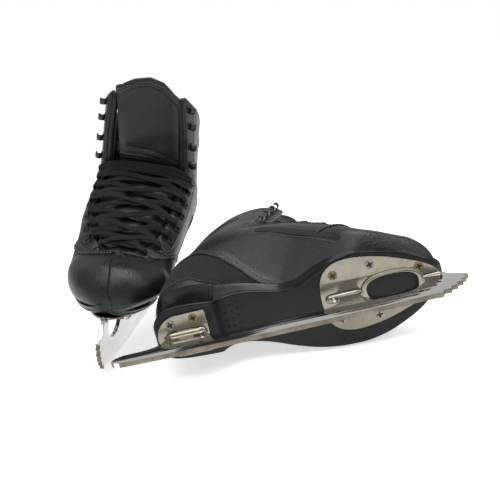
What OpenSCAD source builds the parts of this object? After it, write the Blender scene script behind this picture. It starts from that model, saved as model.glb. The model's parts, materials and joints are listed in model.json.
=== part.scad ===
/* [Overall size] */
// Scale of the whole pair; 1 fits a 235 mm foot
pair_scale = 1; // [0.8:0.01:1.2]
// Facets of the larger round features
round_fn = 32; // [16:4:64]

/* [Blade] */
// Thickness of the runner
runner_t = 4; // [3:0.1:5]
// Thickness of the webs that rise from the runner to the plates
web_t = 3.6; // [2.6:0.1:4.8]
// Height of the steel bar above the ice
bar_h = 22; // [16:0.5:28]
// Radius of the rocker along the ice edge
rocker_r = 2200; // [1800:50:2600]
// Point of the rocker that stands on the ice, measured from the back of the heel
rocker_x = 120; // [90:1:150]
// Back end of the blade
tail_x = -34; // [-45:1:-20]
// Thickness of the mounting plates
plate_t = 2.5; // [2:0.1:4]
// Height of the visible face of the sole plate
sole_plate_z = 51.5; // [48:0.5:56]
// Height of the visible face of the heel plate
heel_plate_z = 43.5; // [40:0.5:48]
// Half width of the sole plate at its widest
sole_plate_w = 32; // [26:0.5:36]
// Half width of the heel plate
heel_plate_w = 17.5; // [14:0.5:22]
// Radius of a screw head
screw_r = 4; // [3:0.1:5]
// Radius of a screw shank
shank_r = 2; // [1.5:0.1:2.5]

/* [Boot] */
// Thickness of the leather upper
leather_t = 2.4; // [1.5:0.1:4]
// Thickness of the padded lining
lining_t = 2.6; // [1.5:0.1:5]
// Thickness of the tongue
tongue_t = 3.5; // [2:0.1:8]
// Width of a lace
lace_w = 7; // [4:0.5:9]
// Thickness of a lace
lace_t = 1.3; // [0.8:0.1:2]
// How far the inner ankle bulges past the outer one
ankle_bulge = 7; // [0:0.5:10]
// Number of laced eyelet pairs
eyelet_rows = 8; // [4:1:10]
// Number of open hook pairs on the cuff
hook_rows = 4; // [2:1:6]

/* [Placement] */
// Position of the lying left skate
left_pos = [-93.1, -188.6, 35.3];
// Turn of the lying left skate
left_rot = [-85.4, -2.5, -2.9];
// Position of the standing right skate
right_pos = [-128.7, 165.6, -0.45];
// Turn of the standing right skate
right_rot = [-16.9, -0.5, -96.3];

/* [Hidden] */
gap = 0.1;
seam = 0.12;
patch_lift = 1;
black = [0.055, 0.058, 0.066];
sole_black = [0.03, 0.03, 0.033];
lining_grey = [0.09, 0.09, 0.1];
steel = [0.72, 0.7, 0.66];
plate_steel = [0.78, 0.75, 0.68];
screw_brass = [0.62, 0.52, 0.34];
lace_black = [0.04, 0.04, 0.045];

// One row per ring of the boot: back or bottom point x, z, front or top point x, z,
// half width, share of it at the bottom edge, height share of the widest point,
// size of the bottom edge rounding, its exponent, exponent of the top, sideways shift
RINGS = [
  [250, 71, 250.2, 72.5, 1.2, 0.9, 0.45, 0.45, 2.2, 2.2, -7],
  [249.2, 67.5, 248.8, 79, 10, 0.9, 0.45, 0.4, 2.4, 2.2, -6.8],
  [246, 65, 245, 87, 19.5, 0.9, 0.45, 0.36, 2.6, 2.2, -6],
  [240, 63, 239, 93.5, 28, 0.9, 0.45, 0.33, 2.8, 2.2, -5],
  [231, 61, 230, 98.5, 36.5, 0.9, 0.45, 0.3, 3, 2.25, -3.4],
  [218.5, 59.2, 218.5, 101.5, 43.5, 0.9, 0.45, 0.28, 3, 2.3, -1.8],
  [204.5, 58.4, 206, 104, 47.5, 0.9, 0.46, 0.26, 3, 2.35, -0.6],
  [181, 58.6, 195.5, 106.5, 49.2, 0.88, 0.48, 0.24, 3, 2.4, 0.4],
  [158, 61.5, 184, 116.5, 49.8, 0.8, 0.55, 0.2, 3, 2.6, 0.4],
  [134, 66.5, 172, 126.5, 49.5, 0.7, 0.62, 0.17, 3, 2.8, 0],
  [108, 72.8, 160, 137, 50, 0.6, 0.68, 0.15, 3, 3, 0],
  [80, 79, 148, 147.5, 50, 0.56, 0.72, 0.14, 3, 3, 0],
  [50, 83.5, 136, 158, 50, 0.56, 0.72, 0.13, 2.8, 3, 0],
  [22, 86.5, 125, 167.5, 49.5, 0.58, 0.72, 0.14, 2.6, 3, 0],
  [3, 92, 117, 175, 49, 0.6, 0.72, 0.18, 2.4, 3, 0],
  [-2, 103, 116, 183, 48, 0.62, 0.72, 0.22, 2.2, 3, 0],
  [-1.5, 119, 120, 193, 47, 0.66, 0.72, 0.26, 2.1, 2.9, 0],
  [2.5, 138, 125.5, 205, 46, 0.68, 0.7, 0.28, 2, 2.8, 0],
  [7.5, 157, 131, 219, 45, 0.7, 0.7, 0.3, 2, 2.7, 0],
  [11.5, 176, 135.5, 234, 44.5, 0.74, 0.68, 0.32, 2, 2.6, 0],
  [13.5, 194, 139.5, 249, 44, 0.78, 0.66, 0.34, 2, 2.5, 0],
  [14.5, 212, 143.5, 265, 44, 0.8, 0.66, 0.34, 2, 2.5, 0],
  [15, 230, 147.5, 281, 44, 0.8, 0.66, 0.34, 2, 2.5, 0]
];
RIM = [[0, 19.75], [0.15, 19.5], [0.3, 19.2], [0.38, 19.6], [0.48, 20.25], [0.65, 20.5], [1, 20.5]];
// Outsole rows: x, bottom z, top z, bottom half width, top half width, sideways shift
SOLE = [
  [-1.5, 60, 85, 6, 8, 0], [1, 47.5, 85.8, 13, 15, 0], [5, 46, 86, 19.5, 21, 0],
  [12, 46, 86, 24, 26, 0], [22, 46, 86, 26, 29, 0], [36, 46, 84.6, 26.5, 30.5, 0],
  [50, 46, 83.2, 26, 30, 0], [54, 48, 82.6, 25, 29.5, 0], [60, 56, 81.8, 23, 29, 0],
  [68, 62, 80.6, 21, 28.2, 0], [80, 64, 78.7, 21, 27.8, 0], [96, 62.6, 75.2, 22.5, 28.5, 0.5],
  [112, 60, 71.6, 26, 31, 1], [128, 57, 67.7, 31, 34.5, 1.2], [142, 54.8, 64.5, 35.5, 38, 1.4],
  [158, 54, 61.2, 39, 40.8, 1.4], [176, 54, 58.8, 41, 42.3, 1], [194, 54, 58.2, 41, 42.3, 0],
  [209, 54, 58.3, 38.8, 40.2, -0.9], [221, 54, 59.4, 34.6, 36.2, -2.1], [231.5, 54.3, 61, 29.2, 30.8, -3.3],
  [240, 55.6, 62.9, 21.8, 23.5, -4.7], [245.5, 57.6, 64.7, 14, 16, -6], [249.5, 61, 67, 6, 7.5, -6.8]
];
SOLE_SCREWS = [[158, 20], [190, 22.5], [230, 11.5]];
HEEL_SCREWS = [[16, 11.3], [36, 13.4]];
ROWS = [7.55, 8.15, 8.85, 9.65, 10.55, 11.5, 12.45, 13.4];

// ---- curves and the boot surface ----

function clampv(v, lo, hi) = min(max(v, lo), hi);
function smooth(v) = clampv(v, 0, 1) * clampv(v, 0, 1) * (3 - 2 * clampv(v, 0, 1));
function spline(a, b, c, d, f) =
  0.5 * (2 * b + (c - a) * f + (2 * a - 5 * b + 4 * c - d) * f * f + (3 * b - 3 * c + d - a) * f * f * f);
function ring_row(s, i) =
  spline(RINGS[max(i - 1, 0)], RINGS[i], RINGS[i + 1], RINGS[min(i + 2, len(RINGS) - 1)], s - i);
function ring_at(s) = ring_row(s, clampv(floor(s), 0, len(RINGS) - 2));
function rise(u, r) = r[4] * (r[5] + (1 - r[5]) * smooth(u / r[6]));
function edge(u, r) = pow(1 - pow(1 - clampv(u / r[7], 0, 1), r[8]), 1 / r[8]);
function dome(u, r) = pow(1 - pow(clampv((u - r[6]) / (1 - r[6]), 0, 1), r[9]), 1 / r[9]);
function belly(s, u, side) = side < 0 ? ankle_bulge * smooth((s - 8) / 5) * pow(sin(180 * u), 1.5) : 0;
function ring_point(r, u, side, extra) = [
  r[0] + u * (r[2] - r[0]),
  r[10] + side * (rise(u, r) + extra) * edge(u, r) * dome(u, r),
  r[1] + u * (r[3] - r[1])
];
function skin(s, t, side) =
  let (u = (1 - cos(180 * t)) / 2) ring_point(ring_at(s), u, side, belly(s, u, side));
function unit(v) = v / norm(v);
function skin_normal(s, t, side) =
  let (a = clampv(t, 0.01, 0.985), b = clampv(s, 0, 21.9))
  unit(side * cross(skin(b + 0.05, a, side) - skin(b, a, side), skin(b, a + 0.01, side) - skin(b, a, side)));
function layer(s, t, side, d) = skin(s, t, side) + d * skin_normal(s, t, side) + [0, side * seam, 0];
function table(rows, v, i = 0) =
  v <= rows[i + 1][0] || i == len(rows) - 2
    ? rows[i][1] + (rows[i + 1][1] - rows[i][1]) * (v - rows[i][0]) / (rows[i + 1][0] - rows[i][0])
    : table(rows, v, i + 1);
function facing_t(s) =
  s < 7 ? 0.9995 : 0.85 - 0.07 * smooth((s - 13) / 5) + 0.1495 * pow(max(0, 1 - (s - 7) / 2.2), 2);
function foot_top(t) = 16.55 - 2.2 * smooth(t / 0.85);
function cuff_bottom(t) = foot_top(t) + 0.24 + 0.72 * smooth(t / 0.8);
function mix(a, b, f) = a + (b - a) * f;

// Closed shell between two grids of points, outer one first
module shell(outer, inner, flip) {
  ni = len(outer);
  nj = len(outer[0]);
  n = ni * nj;
  pts = concat([for (r = outer) for (p = r) p], [for (r = inner) for (p = r) p]);
  quads = concat(
    [for (i = [0:ni - 2]) for (j = [0:nj - 2]) [i * nj + j, i * nj + j + 1, (i + 1) * nj + j + 1, (i + 1) * nj + j]],
    [for (i = [0:ni - 2]) for (j = [0:nj - 2])
      [n + i * nj + j, n + (i + 1) * nj + j, n + (i + 1) * nj + j + 1, n + i * nj + j + 1]],
    [for (j = [0:nj - 2]) [j, n + j, n + j + 1, j + 1]],
    [for (j = [0:nj - 2]) [n - nj + j, n - nj + j + 1, 2 * n - nj + j + 1, 2 * n - nj + j]],
    [for (i = [0:ni - 2]) [i * nj, (i + 1) * nj, n + (i + 1) * nj, n + i * nj]],
    [for (i = [0:ni - 2]) [i * nj + nj - 1, n + i * nj + nj - 1, n + (i + 1) * nj + nj - 1, (i + 1) * nj + nj - 1]]
  );
  tris = [for (q = quads) for (k = [0, 1]) k == 0 ? [q[0], q[1], q[2]] : [q[0], q[2], q[3]]];
  polyhedron(pts, flip ? [for (t = tris) [t[0], t[2], t[1]]] : tris);
}

// ---- blade ----

function ice_z(x) = pow(x - rocker_x, 2) / (2 * rocker_r);

module runner_outline() {
  edge_pts = [for (x = [tail_x + 8:13:234]) [x, ice_z(x)]];
  polygon(concat(
    edge_pts,
    [[236, 1.4], [238.5, 2], [241, 8], [246.5, 7.4], [247.5, 13], [253, 13.4], [252.8, 19], [258.6, 20]],
    [[257.4, 25], [263, 27], [261.2, 31], [266, 33.8], [262.5, 38.5], [254, 43], [250.5, 47]],
    [[249.6, sole_plate_z - gap], [152, sole_plate_z - gap], [156, 46], [159.5, 40], [159, 34], [154, 28]],
    [[144, 24], [130, bar_h], [64, bar_h], [54, 24], [47, 29], [43, 36], [43.5, heel_plate_z - gap]],
    [[8, heel_plate_z - gap], [9.5, 36], [8, 29], [3, 24.5], [-8, bar_h], [tail_x + 8, bar_h - 1]],
    [[tail_x + 3, bar_h - 4.5], [tail_x, bar_h - 10], [tail_x + 2, 8]]
  ));
}

module upright(thick) {
  translate([0, thick / 2, 0])
    rotate([90, 0, 0])
      linear_extrude(thick)
        children();
}

module runner() {
  color(steel) {
    upright(runner_t)
      intersection() {
        runner_outline();
        translate([tail_x - 10, -1])
          square([320, bar_h + 1]);
      }
    upright(web_t)
      difference() {
        runner_outline();
        translate([207, 38])
          scale([1.9, 1])
            circle(12.5, $fn = round_fn);
        translate([183.5, 38])
          square([47, 20]);
      }
  }
}

module sole_plate_outline() {
  side = [[145, 10], [147, 20], [152, 27], [160, 31], [170, sole_plate_w], [184, 31], [200, 27.5], [216, 22],
    [230, 16.5], [240, 11], [246, 5]];
  polygon(concat(side, [for (i = [len(side) - 1:-1:0]) [side[i][0], -side[i][1]]]));
}

module window_outline(grow) {
  translate([206, 0])
    scale([(22 + grow) / 10, (10.5 + grow) / 10])
      circle(10, $fn = round_fn);
}

module plate_bores(spots, z0) {
  for (p = spots)
    for (sy = [-1, 1])
      translate([p[0], sy * p[1], z0 - 2])
        cylinder(r = shank_r + 0.05, h = plate_t + 4, $fn = 24);
}

module sole_plate() {
  color(plate_steel)
    difference() {
      union() {
        translate([0, 0, sole_plate_z])
          linear_extrude(plate_t)
            sole_plate_outline();
        translate([0, 0, sole_plate_z - 1.6])
          linear_extrude(1.7)
            window_outline(4);
      }
      translate([0, 0, sole_plate_z - 3])
        linear_extrude(plate_t + 6)
          window_outline(0);
      translate([140, -runner_t / 2 - gap, sole_plate_z - 3])
        cube([120, runner_t + 2 * gap, 3]);
      plate_bores(SOLE_SCREWS, sole_plate_z);
    }
}

module heel_plate() {
  color(plate_steel)
    difference() {
      union() {
        translate([0, 0, heel_plate_z])
          linear_extrude(plate_t)
            union() {
              translate([4 + heel_plate_w, 0])
                circle(heel_plate_w, $fn = round_fn);
              translate([4 + heel_plate_w, -heel_plate_w])
                square([44 - heel_plate_w, 2 * heel_plate_w]);
            }
        translate([11, 0, heel_plate_z + 0.5])
          rotate([0, 90, 0])
            cylinder(r = 5.5, h = 33, $fn = 24);
      }
      translate([0, -20, heel_plate_z + plate_t])
        cube([60, 40, 12]);
      translate([0, -runner_t / 2 - gap, heel_plate_z - 8])
        cube([60, runner_t + 2 * gap, 8]);
      plate_bores(HEEL_SCREWS, heel_plate_z);
    }
}

module screws(spots, z0, depth) {
  color(screw_brass)
    for (p = spots)
      for (sy = [-1, 1])
        translate([p[0], sy * p[1], z0]) {
          translate([0, 0, -1.3])
            difference() {
              cylinder(r1 = screw_r - 1, r2 = screw_r, h = 1.3 - gap / 2, $fn = 24);
              for (a = [0, 90])
                rotate([0, 0, a])
                  translate([-2.2, -0.45, -1])
                    cube([4.4, 0.9, 1.7]);
            }
          translate([0, 0, -gap / 2 - 0.01])
            cylinder(r = shank_r, h = depth, $fn = 24);
        }
}

// ---- outsole and footbed ----

module outsole() {
  ring = function (r) [
    [r[0], r[5] - r[3], r[1] + 1.2], [r[0], r[5] - r[3] + 1.5, r[1]], [r[0], r[5] + r[3] - 1.5, r[1]],
    [r[0], r[5] + r[3], r[1] + 1.2], [r[0], r[5] + r[4], r[2] - gap], [r[0], r[5] - r[4], r[2] - gap]
  ];
  n = len(SOLE);
  pts = [for (r = SOLE) for (p = ring(r)) p];
  sides = [for (i = [0:n - 2]) for (j = [0:5]) for (k = [0, 1])
    let (a = i * 6 + j, b = i * 6 + (j + 1) % 6) k == 0 ? [a, a + 6, b + 6] : [a, b + 6, b]];
  color(sole_black)
    difference() {
      polyhedron(pts, concat(sides, [[0, 1, 2, 3, 4, 5], [for (j = [5:-1:0]) (n - 1) * 6 + j]]));
      for (p = SOLE_SCREWS)
        for (sy = [-1, 1])
          translate([p[0], sy * p[1], 50])
            cylinder(r = shank_r + 0.05, h = 20, $fn = 24);
      for (p = HEEL_SCREWS)
        for (sy = [-1, 1])
          translate([p[0], sy * p[1], 40])
            cylinder(r = shank_r + 0.05, h = 14, $fn = 24);
    }
}

module insole() {
  inner = leather_t + lining_t + 2;
  ss = [2, 3, 4, 5, 6, 7, 8, 9, 10, 11, 12, 12.7];
  ts = [-0.13, -0.09, -0.05, 0.05, 0.09, 0.13];
  rows = function (d) [for (s = ss) [for (t = ts) layer(s, abs(t), sign(t), -d)]];
  color(lining_grey)
    shell(rows(inner), rows(inner + 2.4), false);
}

// ---- upper, lining and cuff ----

function half_grid(side, d, s_lo, s_hi, n, m) = [
  for (i = [0:n]) [for (j = [0:m])
    let (f = j / m, q = mix(s_lo(f), s_hi(f), i / n), t = mix(0.004, facing_t(q), f))
    layer(mix(s_lo(t), s_hi(t), i / n), t, side, d)]
];

module half_shell(side, d, thick, s_lo, s_hi, n, m) {
  shell(half_grid(side, d, s_lo, s_hi, n, m), half_grid(side, d - thick, s_lo, s_hi, n, m), side < 0);
}

module upper(side) {
  color(black)
    half_shell(side, 0, leather_t, function (t) 0, function (t) foot_top(t), 17, 9);
}

module cuff(side) {
  color(black)
    half_shell(side, 0, leather_t, function (t) cuff_bottom(t), function (t) table(RIM, t), 5, 9);
}

module lining() {
  color(lining_grey)
    for (side = [-1, 1])
      half_shell(side, -leather_t - gap, lining_t, function (t) 0, function (t) foot_top(t), 17, 9);
}

module collar_lining() {
  color(lining_grey)
    for (side = [-1, 1])
      half_shell(side, -leather_t - gap, lining_t, function (t) cuff_bottom(t), function (t) table(RIM, t), 5, 9);
}

module heel_panel() {
  ts = [-0.36, -0.28, -0.2, -0.12, -0.05, 0.05, 0.12, 0.2, 0.28, 0.36];
  rows = function (d) [for (i = [0:6]) [for (t = ts)
    layer(mix(13.4 + 0.6 * (1 - abs(t) / 0.36), foot_top(abs(t)) - 0.1, i / 6), abs(t), sign(t), d)]];
  color(black)
    shell(rows(patch_lift + 1.1), rows(patch_lift), false);
}

module facing(side) {
  rows = function (d) [for (i = [0:12])
    let (s = mix(7.35, 14.3, i / 12))
    [for (k = [-0.12, -0.08, -0.04, -0.002]) layer(s, facing_t(s) + k, side, d)]];
  color(black)
    shell(rows(patch_lift + 1.3), rows(patch_lift), side < 0);
}

// ---- tongue ----

module tongue_base() {
  ks = [-0.09, -0.05, -0.015, 0.03, 0.075, 0.12];
  drop = function (k) -leather_t - lining_t - 2.4 + (leather_t + lining_t + 1.5) * smooth((k - 0.005) / 0.06);
  line = function (s, side, d) [for (k = ks)
    let (t = min(facing_t(s) + k * min(1, 0.35 + (s - 6.6) / 2.4), 0.985)) layer(s, t, side, drop(k) + d)];
  rows = function (d) [for (i = [0:10])
    let (s = mix(7.2, 14.1, i / 10), r = line(s, 1, d))
    concat(line(s, -1, d), [for (k = [5:-1:0]) r[k]])];
  color(black)
    shell(rows(0), rows(-tongue_t), true);
}

function tongue_top(t) = 20.7 + 0.4 * (t - 0.84) / 0.16;

function tongue_grid(d, lo, n) = [for (i = [0:n]) concat(
  [for (t = [0.82, 0.86, 0.9, 0.935, 0.97]) layer(mix(lo(t), tongue_top(t), i / n), t, -1, d)],
  [for (t = [0.97, 0.935, 0.9, 0.86, 0.82]) layer(mix(lo(t), tongue_top(t), i / n), t, 1, d)]
)];

module tongue() {
  lo = function (t) 15.9;
  color(black)
    shell(tongue_grid(0, lo, 8), tongue_grid(-tongue_t, lo, 8), true);
}

module tongue_edge() {
  lo = function (t) tongue_top(t) - 0.55;
  color(black)
    shell(tongue_grid(gap + 0.9, lo, 2), tongue_grid(gap, lo, 2), true);
}

// ---- laces and fittings ----

module on_skin(s, t, side, d) {
  p = layer(s, t, side, d);
  n = skin_normal(s, t, side);
  translate(p)
    rotate([0, acos(n[2]), atan2(n[1], n[0])])
      children();
}

module eyelets() {
  color(black)
    for (side = [-1, 1])
      for (i = [0:eyelet_rows - 1])
        on_skin(ROWS[i], facing_t(ROWS[i]) - 0.07, side, patch_lift + 1.6)
          difference() {
            cylinder(r = 3.6, h = 0.9, $fn = 20);
            translate([0, 0, -1])
              cylinder(r = 2, h = 3, $fn = 20);
          }
}

module hooks() {
  color(black)
    for (side = [-1, 1])
      for (i = [0:hook_rows - 1])
        on_skin(15.75 + i * 1.48, facing_t(15.75 + i * 1.48) - 0.045, side, gap) {
          cylinder(r = 3.6, h = 1.2, $fn = 20);
          translate([0, 0, 1])
            cylinder(r = 1.8, h = 3.2, $fn = 20);
          translate([0, 0, 4])
            cylinder(r = 3.8, h = 1.2, $fn = 20);
        }
}

// One band from an eyelet on one side to the next eyelet on the other side
module strand(s0, s1, side, lift) {
  n = 8;
  along = function (i) let (f = i / n, e = mix(s0, s1, f), w = facing_t(e) - 0.045)
    let (v = 2 * f - 1) [e, min(1 - (1 - w) * abs(v), 0.985), v < 0 ? side : -side];
  centre = [for (i = [0:n]) let (a = along(i)) layer(a[0], a[1], a[2], lift)];
  up = [for (i = [0:n]) let (a = along(i)) skin_normal(a[0], a[1], a[2])];
  dir = [for (i = [0:n]) unit(centre[min(i + 1, n)] - centre[max(i - 1, 0)])];
  wide = [for (i = [0:n]) unit(cross(up[i], dir[i])) * lace_w / 2];
  row = function (k) [for (i = [0:n]) [centre[i] - wide[i] + up[i] * k, centre[i] + wide[i] + up[i] * k]];
  shell(row(lace_t), row(0), false);
}

module laces() {
  color(lace_black) {
    strand(ROWS[0], ROWS[0], 1, patch_lift + 2.8);
    for (i = [0:eyelet_rows - 2]) {
      strand(ROWS[i] + 0.03, ROWS[i + 1] - 0.03, 1, patch_lift + 4.6);
      strand(ROWS[i] + 0.03, ROWS[i + 1] - 0.03, -1, patch_lift + 6.4);
    }
  }
}

// ---- placement ----

module left() {
  translate(left_pos * pair_scale)
    rotate(left_rot)
      scale(pair_scale)
        children();
}

module right() {
  translate(right_pos * pair_scale)
    rotate(right_rot)
      scale(pair_scale)
        mirror([0, 1, 0])
          children();
}

left() runner();  // left_runner
left() sole_plate();  // left_sole_plate
left() heel_plate();  // left_heel_plate
left() screws(SOLE_SCREWS, sole_plate_z, 6);  // left_sole_screws
left() screws(HEEL_SCREWS, heel_plate_z, 10);  // left_heel_screws
left() outsole();  // left_outsole
left() insole();  // left_insole
left() upper(-1);  // left_upper_medial
left() upper(1);  // left_upper_lateral
left() heel_panel();  // left_heel_panel
left() lining();  // left_lining
left() facing(-1);  // left_facing_medial
left() facing(1);  // left_facing_lateral
left() eyelets();  // left_eyelets
left() laces();  // left_laces
left() tongue_base();  // left_tongue_base
left() cuff(-1);  // left_cuff_medial
left() cuff(1);  // left_cuff_lateral
left() collar_lining();  // left_collar_lining
left() hooks();  // left_hooks
left() tongue();  // left_tongue
left() tongue_edge();  // left_tongue_edge
right() runner();  // right_runner
right() sole_plate();  // right_sole_plate
right() heel_plate();  // right_heel_plate
right() screws(SOLE_SCREWS, sole_plate_z, 6);  // right_sole_screws
right() screws(HEEL_SCREWS, heel_plate_z, 10);  // right_heel_screws
right() outsole();  // right_outsole
right() insole();  // right_insole
right() upper(-1);  // right_upper_medial
right() upper(1);  // right_upper_lateral
right() heel_panel();  // right_heel_panel
right() lining();  // right_lining
right() facing(-1);  // right_facing_medial
right() facing(1);  // right_facing_lateral
right() eyelets();  // right_eyelets
right() laces();  // right_laces
right() tongue_base();  // right_tongue_base
right() cuff(-1);  // right_cuff_medial
right() cuff(1);  // right_cuff_lateral
right() collar_lining();  // right_collar_lining
right() hooks();  // right_hooks
right() tongue();  // right_tongue
right() tongue_edge();  // right_tongue_edge
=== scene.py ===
"""A pair of figure skates: one stands on its blade and leans on the other, which lies on its side.

Every shape is built in the skate's own millimetres (x from the back of the heel to the toe,
y to the outer side of the foot, z up from the ice) and then carried to where the frame puts it.
"""
import json
import math

import bmesh
import bpy
import numpy as np
from mathutils import Matrix, Vector


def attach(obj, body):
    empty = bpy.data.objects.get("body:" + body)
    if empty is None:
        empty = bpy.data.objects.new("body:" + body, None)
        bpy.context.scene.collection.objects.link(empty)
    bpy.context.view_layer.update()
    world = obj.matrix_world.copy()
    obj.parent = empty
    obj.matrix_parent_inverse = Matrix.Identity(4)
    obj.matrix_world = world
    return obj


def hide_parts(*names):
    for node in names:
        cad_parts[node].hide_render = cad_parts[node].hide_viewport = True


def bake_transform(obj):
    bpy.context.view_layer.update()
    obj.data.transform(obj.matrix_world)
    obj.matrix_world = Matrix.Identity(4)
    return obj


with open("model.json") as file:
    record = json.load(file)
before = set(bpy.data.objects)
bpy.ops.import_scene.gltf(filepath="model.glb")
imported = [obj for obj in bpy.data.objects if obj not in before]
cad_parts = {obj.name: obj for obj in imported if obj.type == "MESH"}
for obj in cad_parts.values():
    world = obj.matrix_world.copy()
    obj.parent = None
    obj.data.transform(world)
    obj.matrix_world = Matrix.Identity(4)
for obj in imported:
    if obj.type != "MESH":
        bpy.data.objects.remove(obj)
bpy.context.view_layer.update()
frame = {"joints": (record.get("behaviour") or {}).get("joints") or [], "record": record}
JOINTS = {j["name"]: j for j in frame["joints"]}
MOUNTS = {m["name"]: m for m in frame["record"]["mounts"]}
MM = 0.001
SIDES = ("left", "right")

# ---------------------------------------------------------------- the boot's surface

# One row per ring of the boot: back or bottom point x, z, front or top point x, z, half width,
# share of it at the bottom edge, height share of the widest point, size of the bottom rounding,
# its exponent, exponent of the top, sideways shift.
RINGS = np.array([
    [250, 65.5, 250.2, 72.5, 1.2, 0.9, 0.45, 0.45, 2.2, 2.2, -7],
    [249.2, 63, 248.8, 79, 10, 0.9, 0.45, 0.4, 2.4, 2.2, -6.8],
    [246, 60.6, 245, 87, 19.5, 0.9, 0.45, 0.36, 2.6, 2.2, -6],
    [240, 59.2, 239, 93.5, 28, 0.9, 0.45, 0.33, 2.8, 2.2, -5],
    [231, 58.4, 230, 98.5, 36.5, 0.9, 0.45, 0.3, 3, 2.25, -3.4],
    [218.5, 57.8, 218.5, 101.5, 43.5, 0.9, 0.45, 0.28, 3, 2.3, -1.8],
    [204.5, 57.8, 206, 104, 47.5, 0.9, 0.46, 0.26, 3, 2.35, -0.6],
    [181, 58.6, 195.5, 106.5, 49.2, 0.88, 0.48, 0.24, 3, 2.4, 0.4],
    [158, 61.5, 184, 116.5, 49.8, 0.8, 0.55, 0.2, 3, 2.6, 0.4],
    [134, 66.5, 172, 126.5, 49.5, 0.7, 0.62, 0.17, 3, 2.8, 0],
    [108, 72.8, 160, 137, 50, 0.6, 0.68, 0.15, 3, 3, 0],
    [80, 79, 148, 147.5, 50, 0.56, 0.72, 0.14, 3, 3, 0],
    [50, 83.5, 136, 158, 50, 0.56, 0.72, 0.13, 2.8, 3, 0],
    [22, 86.5, 125, 167.5, 49.5, 0.58, 0.72, 0.14, 2.6, 3, 0],
    [3, 92, 117, 175, 49, 0.6, 0.72, 0.18, 2.4, 3, 0],
    [-2, 103, 116, 183, 48, 0.62, 0.72, 0.22, 2.2, 3, 0],
    [-1.5, 119, 120, 193, 47, 0.66, 0.72, 0.26, 2.1, 2.9, 0],
    [2.5, 138, 125.5, 205, 46, 0.68, 0.7, 0.28, 2, 2.8, 0],
    [7.5, 157, 131, 219, 45, 0.7, 0.7, 0.3, 2, 2.7, 0],
    [11.5, 176, 135.5, 234, 44.5, 0.74, 0.68, 0.32, 2, 2.6, 0],
    [13.5, 194, 139.5, 249, 44, 0.78, 0.66, 0.34, 2, 2.5, 0],
    [14.5, 212, 143.5, 265, 44, 0.8, 0.66, 0.34, 2, 2.5, 0],
    [15, 230, 147.5, 281, 44, 0.8, 0.66, 0.34, 2, 2.5, 0],
], float)
# One row per section of the outsole, from the heel: x, bottom z, top z, inner half width
# at the bottom and top, outer half width at the bottom and top.
SOLE = np.array([
    [-1.5, 60, 85, 5, 8, 5, 8],
    [1, 47.5, 85.8, 12, 15, 10.5, 14],
    [5, 46, 86, 18, 21, 16, 19.5],
    [12, 46, 86, 23, 26, 20, 24],
    [22, 46, 86, 25, 28.5, 22, 27],
    [36, 46, 84.6, 24.8, 29, 23, 28],
    [50, 46, 83.2, 23, 28, 23.5, 28],
    [54, 48, 82.6, 22, 27, 24, 28],
    [60, 56, 81.8, 20.5, 25.5, 24, 28],
    [68, 62, 80.6, 20, 24.5, 25, 28],
    [80, 64, 78.7, 19.3, 23, 27, 29],
    [96, 62.6, 75.2, 17, 20, 31, 33],
    [112, 60, 71.6, 14.5, 17, 36.5, 38.5],
    [128, 57, 67.7, 17, 19.5, 41, 42.5],
    [142, 54.8, 64.5, 24, 26.5, 43.5, 44.8],
    [158, 54, 61.2, 31, 33, 45, 46],
    [176, 54, 58.8, 34, 35.5, 44.5, 45.5],
    [194, 54, 58.2, 32, 33.5, 40.5, 41.8],
    [209, 54, 58.2, 28, 29.5, 34.8, 36],
    [221, 54, 58.8, 24, 25.6, 28.8, 30.2],
    [231.5, 54.3, 59.6, 18.8, 20.5, 22, 23.5],
    [240, 55.6, 61, 13.5, 15.3, 14, 15.8],
    [245.5, 57.6, 63, 9, 11, 8.6, 10.4],
    [249.5, 61, 66.2, 5, 6.5, 4, 5.5],
], float)
# Places along the boot, as ring numbers: lace rows, lace hooks and the bottom of the opening.
ROWS = (6.95, 7.75, 8.7, 9.75, 10.8, 11.75, 12.95, 14.0)
HOOKS = (16.3, 17.75, 19.1, 20.15)
THROAT = 6.45
ANKLE_BULGE = 7.0
# The collar's rim: t and the ring number there.
RIM = np.array([[0, 19.75], [0.15, 19.5], [0.3, 19.2], [0.38, 19.6], [0.48, 20.25], [0.65, 20.5], [1, 20.5]])


def smooth(v):
    v = np.clip(v, 0, 1)
    return v * v * (3 - 2 * v)


def mix(a, b, f):
    return a + (b - a) * f


def catmull_rom(a, b, c, d, f):
    """The curve from b to c at the share f, with a and d as its outer neighbours."""
    return 0.5 * (2 * b + (c - a) * f + (2 * a - 5 * b + 4 * c - d) * f**2 + (3 * b - 3 * c + d - a) * f**3)


def spline_rows(table, s):
    """Rows between a table's rows, at the places s counted from its first row."""
    s = np.asarray(s, float)
    last = len(table) - 1
    i = np.clip(np.floor(s).astype(int), 0, last - 1)
    a, b, c, d = (table[np.clip(i + k, 0, last)] for k in (-1, 0, 1, 2))
    return catmull_rom(a, b, c, d, (s - i)[..., None])


def run_length(p, axis=0):
    """Distance along a path of points, or along one axis of a grid of points."""
    steps = np.cumsum(np.linalg.norm(np.diff(p, axis=axis), axis=-1), axis)
    return np.concatenate([np.zeros_like(np.take(steps, [0], axis)), steps], axis)


def belly(s, u, side):
    """How far the inner ankle stands out past the outer one."""
    grow = ANKLE_BULGE * smooth((s - 8) / 5) * np.sin(np.pi * u) ** 1.5
    return np.where(np.asarray(side) < 0, grow, 0.0)


def tuck(s, u, side):
    """Share of the inner side's width that draws in under the foot, most at the waist and the ball."""
    rings = [0, 2, 5, 6, 7, 8, 9, 10, 11, 12, 13]
    deep = np.interp(s, rings, [0.2, 0.28, 0.36, 0.3, 0.24, 0.28, 0.4, 0.44, 0.26, 0.1, 0])
    return np.where(np.asarray(side) < 0, 1 - deep * (1 - smooth(u / 0.42)), 1.0)


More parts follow.
